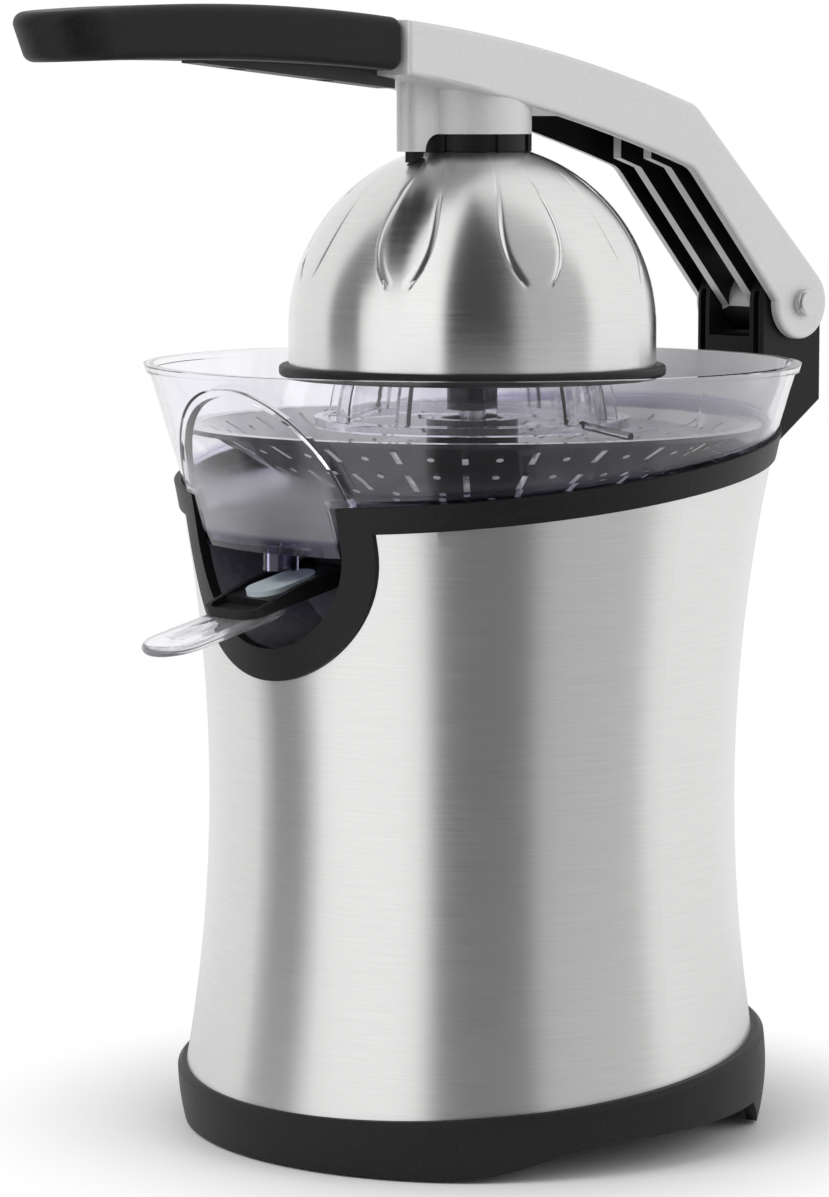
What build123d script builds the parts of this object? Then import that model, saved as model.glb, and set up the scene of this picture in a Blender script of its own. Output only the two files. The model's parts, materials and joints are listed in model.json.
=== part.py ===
from build123d import *
import os
from math import sin, cos, atan2, acos, hypot, pi, radians, degrees, sqrt

# Electric lever citrus press. Millimetres, +Z up, origin on the body axis at the floor,
# spout and handle towards -Y, lever hinge towards +Y.

# Clearances and overrun
cut_over = 20.0
fit_gap = 0.10
run_gap = 0.05
safe_gap = 0.60
touch_gap = 0.30

# Body: one round waisted shell between two slanted planes
waist_radius = 79.4
body_curve_radius = 483.7
base_mid_z = 24.0
base_slope = 0.085
waist_rise = 78.3
body_height = 171.0
rim_slope = 0.116
shell_wall = 0.9
waist_z = base_mid_z + waist_rise
rim_mid_z = base_mid_z + body_height


def body_radius(z):
    """Outer radius of the steel shell at height z."""
    return waist_radius + body_curve_radius - sqrt(body_curve_radius**2 - (z - waist_z)**2)


body_foot_radius = body_radius(base_mid_z)
body_top_radius = body_radius(rim_mid_z)

# Base skirt, its arched underside and the bottom plate
skirt_top_proud = 2.4
skirt_swell = 1.1
skirt_tuck = 2.0
skirt_top_radius = body_foot_radius + skirt_top_proud
skirt_swell_radius = skirt_top_radius + skirt_swell
skirt_floor_radius = skirt_swell_radius - skirt_tuck
skirt_swell_z = 13.0
skirt_wall = 5.2
skirt_lift = 0.8
skirt_bevel = 1.4
arch_height = 10.5
arch_front_foot_y = -68.0
arch_front_y = -22.8
arch_rear_y = 41.3
arch_rear_foot_y = 54.2
ledge_width = 8.0
ledge_height = 2.4
plate_thick = 2.5
plate_z = arch_height + fit_gap
skirt_inner_radius = skirt_swell_radius - skirt_wall
ledge_inner_radius = skirt_inner_radius - ledge_width

# Rubber feet and bottom screws
foot_ring_inset = 12.1
foot_ring_radius = skirt_inner_radius - foot_ring_inset
foot_radius = 7.0
foot_height = 3.0
foot_stem_radius = 2.2
foot_stem_height = 4.0
foot_boss_wall = 2.0
front_foot_angle = 24.0
rear_foot_angle = 150.0
screw_radius = 1.5
screw_head_radius = 2.7
screw_head_height = 1.8
base_screw_length = 4.2
base_screw_angles = [62.0, 118.0, 242.0, 298.0]
vent_slot_width = 3.0
vent_slot_length = 34.0
vent_slot_pitch = 9.0
vent_slot_count = 5

# Mains lead inlet at the back of the skirt
inlet_z = 22.5
inlet_bore_radius = 3.4
inlet_sleeve_radius = 5.4
inlet_flange_radius = 6.8
inlet_flange_thick = 2.2
inlet_sleeve_inside = 3.0

# Black rim frame with the U collar around the spout opening
rim_band_height = 7.7
rim_proud = 1.2
rim_wall_inset = 1.0
rim_ledge_radius = 81.5
rim_ledge_thick = 1.2
collar_half_width = 41.0
collar_band = 9.4
collar_arc_drop = 13.0
collar_depth = 3.4
collar_arc_z = rim_mid_z - collar_arc_drop
collar_inner_half = collar_half_width - collar_band
deck_thick = 3.0
deck_side_gap = 2.0
niche_wall = 2.0
niche_depth = 42.4
niche_back_y = niche_depth - body_top_radius

# Clear juice bowl
bowl_flare_reach = 9.1
bowl_wall = 2.0
bowl_rise = 35.0
bowl_flare = 0.30
bowl_seat_gap = 0.2
bowl_bead = 1.0
bowl_bead_height = 2.4
bowl_rim_radius = body_top_radius + bowl_flare_reach
bowl_rim_z = rim_mid_z + bowl_rise
pan_side_gap = 0.4
pan_clear = rim_ledge_thick + bowl_seat_gap
chamber_half = 29.4
chamber_drop = 16.6
chamber_bottom_z = rim_mid_z - chamber_drop
chamber_back_y = niche_back_y - safe_gap - niche_wall
arch_half = 36.0
arch_top_drop = 4.0
arch_proud = 2.6
nozzle_reach = 30.3
nozzle_y = niche_back_y - nozzle_reach
nozzle_radius = 5.2
nozzle_bore = 3.4
nozzle_length = 5.6
hub_radius = 12.0
hub_rise = 18.0
hub_top_z = rim_mid_z + hub_rise

# Strainer basket
strainer_rim_drop = 18.0
strainer_wall = 1.4
strainer_flare = 0.56
strainer_lip = 2.4
strainer_clear = 0.4
strainer_side_gap = 1.6
strainer_rows = 24
strainer_slot_width = 1.8
slot_inner_shares = [0.30, 0.46, 0.64, 0.83]
slot_outer_shares = [0.38, 0.55, 0.75, 0.91]
hole_mid_shares = [0.50, 0.62, 0.74, 0.86]
hole_radius = 1.1

# Ribbed squeezing cone, its wiper and the drive shaft
cone_base_radius = 41.0
cone_flange_lip = 0.8
cone_flange_height = 2.4
cone_base_rise = 16.0
cone_height = 58.0
cone_wall = 2.6
cone_shoulder_share = 0.80
cone_shoulder_height_share = 0.50
cone_tip_radius = 4.0
cone_rib_count = 10
cone_rib_proud = 3.2
cone_rib_width = 3.4
cone_flange_radius = cone_base_radius + cone_rib_proud + cone_flange_lip
cone_hub_wall = 3.6
shaft_radius = 4.0
shaft_tip_depth = 12.0
bush_wall = 2.4
bush_length = 9.0
spigot_wall = 2.6
spigot_rise = 12.0
wiper_reach = 20.0
wiper_radius = 1.2
wiper_drop = 2.4
wiper_ring_height = 3.0
press_travel = 2.0

# Press dome, liner and the collar under the arm
dome_radius = 55.1
dome_straight = 10.9
dome_wall = 0.8
ring_radius = 58.0
ring_round = 1.2
ring_height = 3.5
ring_drop = 4.0
liner_wall = 2.2
liner_gap = 0.15
boss_radius = 17.6
boss_lift = 2.35
collar_height = 6.9
collar_slot_width = 2.6
collar_slot_depth = 1.0
collar_slot_count = 8
bolt_radius = 3.0
bolt_head_radius = 6.0
bolt_head_height = 3.0
bolt_head_clear = 0.6
catch_half_width = 1.6
catch_front_y = -25.8
catch_length = 4.4
catch_depth = 3.2

# Lever arm: side outline, measured from the hinge pivot
pivot_behind_rim = 29.5
pivot_rise = 14.4
pivot_y = bowl_rim_radius + pivot_behind_rim
pivot_z = bowl_rim_z + pivot_rise
arm_half_width = 18.0
arm_wall = 3.0
arm_end_radius = 11.5
arm_neck_radius = 7.9
arm_front_back = 169.0
arm_front_top_rise = 86.3
arm_front_low_rise = 70.5
arm_mid_back = 110.0
arm_mid_top_rise = 77.8
arm_mid_low_rise = 59.6
arm_bend_top_back = 48.6
arm_bend_top_rise = 62.0
arm_bend_low_back = 50.0
arm_bend_low_rise = 42.8
arm_bend_radius = 9.0
arm_edge_round = 1.4
web_clear_radius = 17.0
tower_side_gap = 0.8
ear_thick = 5.5
lug_side_gap = 0.6
rib_thick = 3.2
tower_half_width = arm_half_width - arm_wall - tower_side_gap
ear_slot_half = tower_half_width - ear_thick
lug_half = ear_slot_half - lug_side_gap
rib_half_gap = lug_half - rib_thick
lug_radius = 9.5
fin_half_width = 4.0
fin_front_y = -29.3
fin_bottom_drop = 5.1
fin_web_y = -17.8
pin_radius = 3.0
pin_cap_radius = 4.3
pin_cap_thick = 3.0
pin_neck = 1.2

# Grip on the front of the arm
grip_side_step = 2.0
grip_half_width = arm_half_width - grip_side_step
grip_length = 125.6
grip_low_length = 120.5
grip_arc_reach = 143.0
grip_low_arc_reach = 136.5
grip_crown_reach = 70.7
grip_tip_top_rise = 84.6
grip_crown_rise = 89.8
grip_rear_top_rise = 86.9
grip_rear_low_rise = 71.6
grip_crown_low_rise = 74.4
grip_tip_low_rise = 72.4
grip_round = 3.2
tang_reach = 92.0
tang_cover = 5.0
tang_half_width = grip_half_width - tang_cover
tang_thick = 6.0
tang_gap = 0.15
wedge_reach = 66.9
wedge_half_width = fin_half_width
wedge_fin_gap = 5.7
wedge_rear_drop = 3.7
wedge_front_depth = 0.8
grip_screw_shares = [0.25, 0.75]

# Hinge tower behind the bowl
tower_front = 14.6
tower_rear = 13.0
ear_core_width = 2.2
ear_core_depth = 5.0
ear_core_top = 3.0
slot_floor_drop = 10.6
tower_knee_drop = 31.4
tower_foot_drop = 66.0
tower_throat_drop = 22.0
tower_throat_gap = 2.6
tower_edge_round = 1.0
tower_screw_spread = 8.0
tower_screw_length = 16.0
tower_screw_head = 1.2

# Drip stop in the spout opening
drip_pivot_reach = 6.0
drip_pivot_y = niche_back_y - drip_pivot_reach
drip_nozzle_drop = 0.8
drip_pivot_z = chamber_bottom_z - nozzle_length - drip_nozzle_drop
drip_pin_radius = 1.6
drip_half_width = 11.5
drip_length = 47.0
drip_front_y = drip_pivot_y - drip_length
drip_rail_width = 1.6
drip_rail_height = 1.8
drip_slope = 12.5
drip_plate_thick = 3.0
pad_half_width = 6.4
pad_half_length = 11.5
pad_thick = 2.6
pad_recess = 1.0
tongue_half_width = 10.5
tongue_tip_reach = 73.0
tongue_tip_y = drip_pivot_y - tongue_tip_reach
tongue_thick = 3.0
tongue_start_reach = 38.0
tongue_start_y = drip_pivot_y - tongue_start_reach
lug_thick = 3.0

# Gear train: motor pinion, idler wheel, idler pinion, output wheel
pinion_teeth = 10
wheel_teeth = 40
first_module = 1.0
second_module = 1.25
first_width = 8.0
second_width = 8.0
tooth_root_share = 0.27
tooth_pitch_share = 0.205
tooth_tip_share = 0.10
addendum_share = 0.85
dedendum_share = 1.25
motor_turn = 210.0
idler_axle_radius = 3.0
gear_axial_gap = 1.0

# Gearbox hung under the deck
gearbox_drop = 13.0
gearbox_wall = 2.5
gearbox_floor = 3.0
gearbox_room = 2.0
hanger_radius = 4.5
hanger_inset = 2.0
gearbox_screw_length = 9.0

# Induction motor under the gearbox
motor_gap = 24.0
stator_half_x = 34.0
stator_half_y = 33.0
stator_height = 40.0
stator_corner = 5.0
stator_bore = 22.4
air_gap = 0.5
coil_near = 17.2
coil_far = 26.0
coil_inner_half = 15.2
coil_outer_half = 23.6
coil_rise = 9.0
coil_gap = 0.3
rotor_shaft_radius = 3.0
bearing_radius = 7.0
bearing_length = 9.0
bracket_half_width = 9.0
bracket_thick = 4.0
bracket_stand = 12.0
bracket_leg = 7.0
motor_post_radius = 4.0
fan_radius = 27.0
fan_height = 10.0
fan_hub_radius = 7.0
fan_blades = 7
fan_blade_thick = 1.8
fan_gap = 1.0

# Press switch under the output shaft
plunger_radius = 2.6
plunger_head_radius = 5.4
plunger_head_height = 1.6
spring_wire = 1.0
switch_length = 20.0
switch_depth = 10.4
switch_height = 5.0
button_radius = 1.4
button_height = 2.4

# Helpers
LOW = (Align.CENTER, Align.CENTER, Align.MIN)


def bowl_radius(z):
    """Outer radius of the bowl's conical wall at height z."""
    return bowl_rim_radius - bowl_flare * (bowl_rim_z - z)


def base_plane(rise=0):
    return Plane(origin=(0, 0, base_mid_z + rise), z_dir=(0, -base_slope, 1))


def rim_plane(rise=0):
    return Plane(origin=(0, 0, rim_mid_z + rise), z_dir=(0, -rim_slope, 1))


def above(part, plane):
    return split(part, bisect_by=plane, keep=Keep.TOP)


def below(part, plane):
    return split(part, bisect_by=plane, keep=Keep.BOTTOM)


def turned(points):
    """Solid of revolution from (radius, height) corners."""
    line = Polyline([(r, 0, z) for r, z in points], close=True)
    return revolve(make_face(line), Axis.Z)


def waisted(z_low, z_high, inset, inner):
    """Solid inside the body's curved side, inset from it, with a plain round hole."""
    z_mid = (z_low + z_high) / 2
    r_low = body_radius(z_low) - inset
    r_mid = body_radius(z_mid) - inset
    r_high = body_radius(z_high) - inset
    side = ThreePointArc((r_low, 0, z_low), (r_mid, 0, z_mid), (r_high, 0, z_high))
    rest = Polyline((r_high, 0, z_high), (inner, 0, z_high), (inner, 0, z_low), (r_low, 0, z_low))
    return revolve(make_face([side, rest]), Axis.Z)


def disc(radius, z, height, x=0, y=0):
    return Pos(x, y, z) * Cylinder(radius, height, align=LOW)


def ring(outer, inner, z, height, x=0, y=0):
    return disc(outer, z, height, x, y) - disc(inner, z, height, x, y)


def rod_x(radius, x_from, x_to, y, z):
    rod = Cylinder(radius, x_to - x_from, align=LOW)
    return Pos(x_from, y, z) * Rot(0, 90, 0) * rod


def rod_y(radius, y_from, y_to, x, z):
    rod = Cylinder(radius, y_to - y_from, align=LOW)
    return Pos(x, y_from, z) * Rot(-90, 0, 0) * rod


def block(x_from, x_to, y_from, y_to, z_from, z_to):
    box = Box(x_to - x_from, y_to - y_from, z_to - z_from, align=(Align.MIN, Align.MIN, Align.MIN))
    return Pos(x_from, y_from, z_from) * box


def slab_x(lines, x_from, x_to):
    """Extrude a closed outline in the YZ plane from x_from to x_to."""
    face = make_face(lines)
    return Pos(x_from, 0, 0) * extrude(face, amount=x_to - x_from, dir=(1, 0, 0))


def outline_yz(points):
    return Polyline([(0, y, z) for y, z in points], close=True)


def u_tunnel(half, y_from, y_to, z_top):
    """Upright slot with a round lower end, cut through along Y."""
    low = rod_y(half, y_from, y_to, 0, collar_arc_z)
    return low + block(-half, half, y_from, y_to, collar_arc_z, z_top)


def at_angle(radius, angle):
    """Point at an angle from the front, counted towards +X."""
    return radius * sin(radians(angle)), -radius * cos(radians(angle))


parts = {}

# Base skirt with its arched underside
skirt_top_z = base_mid_z + base_slope * skirt_swell_radius
skirt_side = ThreePointArc((skirt_floor_radius, 0, skirt_lift), (skirt_swell_radius, 0, skirt_swell_z),
                           (skirt_top_radius, 0, skirt_top_z))
skirt_rest = Polyline((skirt_top_radius, 0, skirt_top_z), (skirt_inner_radius, 0, skirt_top_z),
                      (skirt_inner_radius, 0, skirt_lift), (skirt_floor_radius, 0, skirt_lift))
skirt = revolve(make_face([skirt_side, skirt_rest]), Axis.Z)
ledge_z = plate_z + plate_thick
skirt += ring(skirt_inner_radius + fit_gap, ledge_inner_radius, ledge_z, ledge_height)
skirt = below(skirt, base_plane())
slanted_top = skirt.faces().filter_by(GeomType.PLANE).sort_by(Axis.Z)[-1]
skirt = chamfer(slanted_top.outer_wire().edges(), skirt_bevel)
arch_low = -cut_over
ramp = Spline((0, arch_front_foot_y, skirt_lift), (0, arch_front_y, arch_height),
              tangents=[(0, 1, 0), (0, 1, 0)])
arch_rest = Polyline((0, arch_front_y, arch_height), (0, arch_rear_y, arch_height),
                     (0, arch_rear_foot_y, skirt_lift), (0, arch_rear_foot_y, arch_low),
                     (0, arch_front_foot_y, arch_low), (0, arch_front_foot_y, skirt_lift))
arch_reach = skirt_swell_radius + cut_over
arch_cut = slab_x([ramp, arch_rest], -arch_reach, arch_reach)
inlet_hole = rod_y(inlet_sleeve_radius + fit_gap, 0, arch_reach, 0, inlet_z)
screw_ring_radius = ledge_inner_radius + ledge_width / 2
screw_spots = [at_angle(screw_ring_radius, a) for a in base_screw_angles]
screw_top_z = plate_z + base_screw_length
skirt -= arch_cut
skirt -= inlet_hole
skirt -= [disc(screw_radius + fit_gap, 0, screw_top_z, x, y) for x, y in screw_spots]
parts["base_skirt"] = skirt

# Bottom plate with vent slots, foot bosses and screw holes
plate = disc(skirt_inner_radius - fit_gap, plate_z, plate_thick)
foot_angles = [front_foot_angle, -front_foot_angle, rear_foot_angle, -rear_foot_angle]
foot_spots = [at_angle(foot_ring_radius, a) for a in foot_angles]
plate += [disc(foot_radius + foot_boss_wall, foot_height, plate_z - foot_height, x, y) for x, y in foot_spots]
plate -= [disc(foot_stem_radius + fit_gap, 0, foot_height + foot_stem_height, x, y) for x, y in foot_spots]
plate -= [disc(screw_radius + fit_gap, 0, screw_top_z, x, y) for x, y in screw_spots]
for i in range(vent_slot_count):
    slot_y = (i - (vent_slot_count - 1) / 2) * vent_slot_pitch
    half = vent_slot_length / 2
    plate -= block(-half, half, slot_y - vent_slot_width / 2, slot_y + vent_slot_width / 2, 0, ledge_z)
parts["base_plate"] = plate
parts["rubber_feet"] = Compound(children=[
    disc(foot_radius, 0, foot_height, x, y) + disc(foot_stem_radius, foot_height, foot_stem_height, x, y)
    for x, y in foot_spots])
parts["base_screws"] = Compound(children=[
    disc(screw_radius, plate_z, base_screw_length, x, y)
    + disc(screw_head_radius, plate_z - screw_head_height, screw_head_height, x, y)
    for x, y in screw_spots])

# Lead inlet: a flanged bush in the back of the skirt, bored for the mains lead
inlet_out_y = skirt_swell_radius + touch_gap
inlet = rod_y(inlet_sleeve_radius, skirt_inner_radius - inlet_sleeve_inside, inlet_out_y, 0, inlet_z)
inlet += rod_y(inlet_flange_radius, inlet_out_y, inlet_out_y + inlet_flange_thick, 0, inlet_z)
inlet -= rod_y(inlet_bore_radius, 0, inlet_out_y + cut_over, 0, inlet_z)
parts["cord_inlet"] = inlet

# Steel body shell
shell_low_z = base_mid_z - base_slope * skirt_swell_radius - cut_over / 2
shell_high_z = rim_mid_z + rim_slope * body_top_radius + cut_over / 2
shell = waisted(shell_low_z, shell_high_z, 0, 0) - waisted(shell_low_z, shell_high_z, shell_wall, 0)
shell = below(above(shell, base_plane()), rim_plane())
front_y = -body_top_radius - cut_over
shell -= u_tunnel(collar_half_width + fit_gap, front_y, 0, shell_high_z)
parts["body_shell"] = shell

# Rim frame: band above the slanted edge and the U collar around the spout opening
band_top_z = rim_mid_z + rim_band_height + rim_slope * body_top_radius + cut_over / 4
collar_low_z = collar_arc_z - collar_half_width - rim_proud
rim_round = waisted(collar_low_z, band_top_z, -rim_proud, 0)
rim_hollow = waisted(collar_low_z, band_top_z, rim_wall_inset, 0)
rim_ledge = waisted(collar_low_z, band_top_z, 0, 0) - disc(rim_ledge_radius, collar_low_z, band_top_z)
band = below(above(rim_round - rim_hollow, rim_plane()), rim_plane(rim_band_height))
band += below(above(rim_ledge, rim_plane()), rim_plane(rim_ledge_thick))
collar_zone = u_tunnel(collar_half_width, front_y, 0, band_top_z)
collar_back = waisted(collar_low_z, band_top_z, collar_depth - rim_proud, 0)
collar = below((rim_round - collar_back) & collar_zone, rim_plane())
spout_opening = u_tunnel(collar_inner_half, front_y, niche_back_y, band_top_z + cut_over)
parts["rim_frame"] = band + collar - spout_opening

# Deck under the bowl, with a spigot that carries the shaft bush
deck_radius = body_radius(rim_mid_z - rim_slope * body_top_radius) - shell_wall - deck_side_gap
deck = disc(deck_radius, rim_mid_z - cut_over, cut_over * 2)
deck = below(above(deck, rim_plane(-deck_thick)), rim_plane())
spigot_radius = shaft_radius + bush_wall + spigot_wall
spigot_top_z = rim_mid_z + spigot_rise
deck += disc(spigot_radius, rim_mid_z - deck_thick, spigot_rise + deck_thick)
bush_radius = shaft_radius + bush_wall
deck -= disc(bush_radius + run_gap, spigot_top_z - bush_length, bush_length)
deck -= disc(shaft_radius + safe_gap, rim_mid_z - cut_over, cut_over * 2)
deck -= spout_opening
deck &= waisted(collar_low_z, band_top_z, collar_depth - rim_proud + fit_gap, 0)
parts["top_deck"] = deck
parts["shaft_bush"] = ring(bush_radius, shaft_radius + run_gap, spigot_top_z - bush_length, bush_length)

# Spout niche: a U trough behind the collar
niche_half = collar_inner_half + niche_wall
niche = u_tunnel(niche_half, front_y, niche_back_y + niche_wall, rim_mid_z)
niche -= u_tunnel(collar_inner_half, front_y - cut_over, niche_back_y, rim_mid_z + cut_over)
niche &= waisted(collar_low_z - niche_wall, band_top_z, collar_depth - rim_proud + fit_gap, 0)
niche = below(niche, rim_plane(-deck_thick))
lug_inner = drip_half_width + touch_gap
for side in (-1, 1):
    x_near = side * lug_inner
    x_far = side * (lug_inner + lug_thick)
    lug_low = min(x_near, x_far)
    lug_high = max(x_near, x_far)
    niche += rod_x(drip_pin_radius * 2, lug_low, lug_high, drip_pivot_y, drip_pivot_z)
    niche += block(lug_low, lug_high, drip_pivot_y, niche_back_y, drip_pivot_z - drip_pin_radius * 2,
                   drip_pivot_z + drip_pin_radius * 2)
niche -= rod_x(drip_pin_radius + run_gap, -niche_half, niche_half, drip_pivot_y, drip_pivot_z)
parts["spout_niche"] = niche


# Juice bowl: flared wall, sunken pan, arched spout chamber and nozzle
def bowl_form(shrink):
    """Filled bowl, drawn in by the wall thickness for its inside."""
    top_z = bowl_rim_z + (cut_over if shrink else 0)
    seat = rim_band_height + bowl_seat_gap + shrink
    low_z = rim_mid_z - cut_over
    cone = turned([(0, low_z), (bowl_radius(low_z) - shrink, low_z), (bowl_radius(top_z) - shrink, top_z),
                   (0, top_z)])
    form = above(cone, rim_plane(seat))
    pan_round = waisted(low_z, bowl_rim_z, rim_wall_inset + pan_side_gap + shrink, 0)
    pan = above(pan_round, rim_plane(pan_clear + shrink))
    form += below(pan, rim_plane(seat + bowl_wall))
    proud = arch_proud - shrink
    low_front = chamber_bottom_z - cut_over
    front = turned([(0, low_front), (bowl_radius(low_front) + proud, low_front),
                    (bowl_radius(top_z) + proud, top_z), (0, top_z)])
    half = arch_half - shrink
    arch_mid_z = bowl_rim_z - arch_top_drop - arch_half
    arch = rod_y(half, front_y, chamber_back_y - shrink, 0, arch_mid_z)
    arch += block(-half, half, front_y, chamber_back_y - shrink, low_z, arch_mid_z)
    form += above(arch & front, rim_plane(seat))
    pit = block(shrink - chamber_half, chamber_half - shrink, front_y, chamber_back_y - shrink,
                chamber_bottom_z + shrink, rim_mid_z + rim_band_height)
    form += pit & front
    return form


bowl = bowl_form(0)
bead_low_z = bowl_rim_z - bowl_bead_height
bowl += turned([(0, bead_low_z), (bowl_radius(bead_low_z) + bowl_bead, bead_low_z),
                (bowl_radius(bowl_rim_z) + bowl_bead, bowl_rim_z), (0, bowl_rim_z)])
bowl -= bowl_form(bowl_wall)
hub = disc(hub_radius, rim_mid_z, hub_top_z - rim_mid_z)
bowl += above(hub, rim_plane(pan_clear))
bowl -= disc(spigot_radius + pan_side_gap, rim_mid_z - cut_over, hub_top_z + cut_over)
nozzle_z = chamber_bottom_z - nozzle_length
bowl += disc(nozzle_radius, nozzle_z, nozzle_length, 0, nozzle_y)
bowl -= disc(nozzle_bore, nozzle_z, nozzle_length + bowl_wall * 2, 0, nozzle_y)
parts["juice_bowl"] = bowl

# Strainer basket: level rim, sloped bottom, radial rows of slots and holes
strainer_rim_z = bowl_rim_z - strainer_rim_drop
pan_inset = rim_wall_inset + pan_side_gap + bowl_wall
strainer_radius = body_radius(strainer_rim_z - strainer_wall) - pan_inset - strainer_side_gap
strainer_floor = pan_clear + bowl_wall + strainer_clear


def basket(shrink):
    """Filled basket: a steep cone cut by a sloped bottom, drawn in by the wall for its inside."""
    low_z = rim_mid_z - cut_over
    top_z = strainer_rim_z + shrink
    side_shift = shrink * hypot(1, strainer_flare) / strainer_flare

    def side(z):
        return strainer_radius - strainer_lip - (strainer_rim_z - z) / strainer_flare - side_shift

    cup = turned([(0, low_z), (side(low_z), low_z), (side(top_z), top_z), (0, top_z)])
    return above(cup, rim_plane(strainer_floor + shrink))


strainer = basket(0) + disc(strainer_radius, strainer_rim_z - strainer_wall, strainer_wall)
strainer -= basket(strainer_wall)
neck_radius = hub_radius + strainer_clear
neck = disc(neck_radius + strainer_wall, rim_mid_z, hub_top_z - rim_mid_z)
strainer += above(neck, rim_plane(strainer_floor))
strainer -= disc(neck_radius, rim_mid_z - cut_over, hub_top_z)
slot_cutters = []
for row in range(strainer_rows):
    turn = Rot(0, 0, 360 / strainer_rows * row)
    for start, end in zip(slot_inner_shares, slot_outer_shares):
        slot = block(strainer_radius * start, strainer_radius * end, -strainer_slot_width / 2,
                     strainer_slot_width / 2, rim_mid_z - cut_over, bowl_rim_z)
        slot_cutters.append(turn * slot)
    half_turn = Rot(0, 0, 360 / strainer_rows * (row + 0.5))
    for share in hole_mid_shares:
        slot_cutters.append(half_turn * disc(hole_radius, rim_mid_z - cut_over, bowl_rise + cut_over,
                                             strainer_radius * share))
strainer -= slot_cutters
parts["strainer"] = strainer

# Squeezing cone: a thin ribbed dome on a hub around the shaft
cone_z = rim_mid_z + cone_base_rise
cone_top_z = cone_z + cone_height


def cone_form(shrink):
    base = cone_base_radius - shrink
    shoulder = cone_base_radius * cone_shoulder_share - shrink
    shoulder_z = cone_z + cone_height * cone_shoulder_height_share
    tip = max(cone_tip_radius - shrink, 0)
    side = ThreePointArc((base, 0, cone_z), (shoulder, 0, shoulder_z), (tip, 0, cone_top_z - shrink))
    rest = [(tip, 0, cone_top_z - shrink), (0, 0, cone_top_z - shrink), (0, 0, cone_z), (base, 0, cone_z)]
    if tip == 0:
        rest = rest[1:]
    return revolve(make_face([side, Polyline(rest)]), Axis.Z)


rib_room = cone_form(-cone_rib_proud)
cone = cone_form(0)
for i in range(cone_rib_count):
    rib = block(0, cone_base_radius + cone_rib_proud, -cone_rib_width / 2, cone_rib_width / 2,
                cone_z, cone_top_z)
    cone += Rot(0, 0, 360 / cone_rib_count * i) * rib & rib_room
cone += disc(cone_flange_radius, cone_z, cone_flange_height)
cone -= cone_form(cone_wall)
cone_hub_z = hub_top_z + press_travel + safe_gap
shaft_top_z = cone_top_z - shaft_tip_depth
cone_hub = disc(shaft_radius + cone_hub_wall, cone_hub_z, cone_top_z - cone_wall - cone_hub_z)
cone += cone_hub & cone_form(fit_gap)
cone -= disc(shaft_radius + run_gap, rim_mid_z, shaft_top_z + run_gap - rim_mid_z)
parts["reamer_cone"] = cone

# Pulp wiper: a ring around the cone's foot with two sloping arms
wiper_ring_radius = cone_flange_radius + wiper_radius * 2
wiper_z = cone_z + wiper_ring_height / 2
wiper = ring(wiper_ring_radius, cone_flange_radius + run_gap, cone_z, wiper_ring_height)
wiper_tilt = degrees(atan2(wiper_drop, wiper_reach))
for turn in (0, 180):
    arm = Rot(0, 90 + wiper_tilt, 0) * Cylinder(wiper_radius, hypot(wiper_reach, wiper_drop), align=LOW)
    arm = Pos(wiper_ring_radius - wiper_radius, 0, wiper_z + wiper_drop / 2) * arm
    wiper += Rot(0, 0, turn) * arm
parts["pulp_wiper"] = wiper

# Gear train places, from the output shaft outwards
first_distance = first_module * (pinion_teeth + wheel_teeth) / 2
second_distance = second_module * (pinion_teeth + wheel_teeth) / 2
idler_y = second_distance
motor_x = first_distance * cos(radians(motor_turn))
motor_y = idler_y + first_distance * sin(radians(motor_turn))


def gear(teeth, module, width, bore, phase):
    """Straight-flanked spur gear with one tooth at the phase angle in degrees."""
    pitch = 2 * pi / teeth
    pitch_radius = module * teeth / 2
    root = pitch_radius - module * dedendum_share
    tip = pitch_radius + module * addendum_share
    points = []
    for i in range(teeth):
        mid = radians(phase) + pitch * i
        for radius, share in ((root, -tooth_root_share), (pitch_radius, -tooth_pitch_share),
                              (tip, -tooth_tip_share), (tip, tooth_tip_share),
                              (pitch_radius, tooth_pitch_share), (root, tooth_root_share)):
            angle = mid + pitch * share
            points.append((radius * cos(angle), radius * sin(angle)))
    blank = extrude(make_face(Polyline(points, close=True)), amount=width)
    return blank - Cylinder(bore, width, align=LOW)


# Heights in the gearbox, down from the deck
cover_top_z = rim_mid_z - deck_thick - gearbox_drop
cover_z = cover_top_z - gearbox_floor
second_z = cover_z - gear_axial_gap - second_width
first_z = second_z - press_travel - gear_axial_gap - first_width
floor_top_z = first_z - gear_axial_gap
floor_z = floor_top_z - gearbox_floor
half_pitch = 180 / wheel_teeth
idler_bore = idler_axle_radius + run_gap
wheel_first = gear(wheel_teeth, first_module, first_width, idler_bore, motor_turn + half_pitch)
pinion_width = second_z + second_width - first_z - first_width
pinion_second = gear(pinion_teeth, second_module, pinion_width, idler_bore, 270)
parts["idler_gear"] = Pos(0, idler_y, first_z) * (wheel_first + Pos(0, 0, first_width) * pinion_second)
parts["idler_axle"] = disc(idler_axle_radius, floor_z, cover_top_z - floor_z, 0, idler_y)
motor_pinion = gear(pinion_teeth, first_module, first_width, rotor_shaft_radius + run_gap, motor_turn + 180)
parts["motor_pinion"] = Pos(motor_x, motor_y, first_z) * motor_pinion
output = gear(wheel_teeth, second_module, second_width, shaft_radius + run_gap, 90 + half_pitch)
parts["output_gear"] = Pos(0, 0, second_z) * output
shaft_low_z = floor_z - safe_gap
parts["drive_shaft"] = disc(shaft_radius, shaft_low_z, shaft_top_z - shaft_low_z)


# Gearbox housing and cover, hung from the deck on three posts
def gearbox_outline(grow):
    spots = [(0, 0, second_module * wheel_teeth / 2), (0, idler_y, first_module * wheel_teeth / 2),
             (motor_x, motor_y, first_module * pinion_teeth / 2)]
    edges = Sketch()
    for x, y, radius in spots:
        edges += Pos(x, y) * Circle(radius + second_module + gearbox_room + grow)
    return make_hull(edges.edges())


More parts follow.
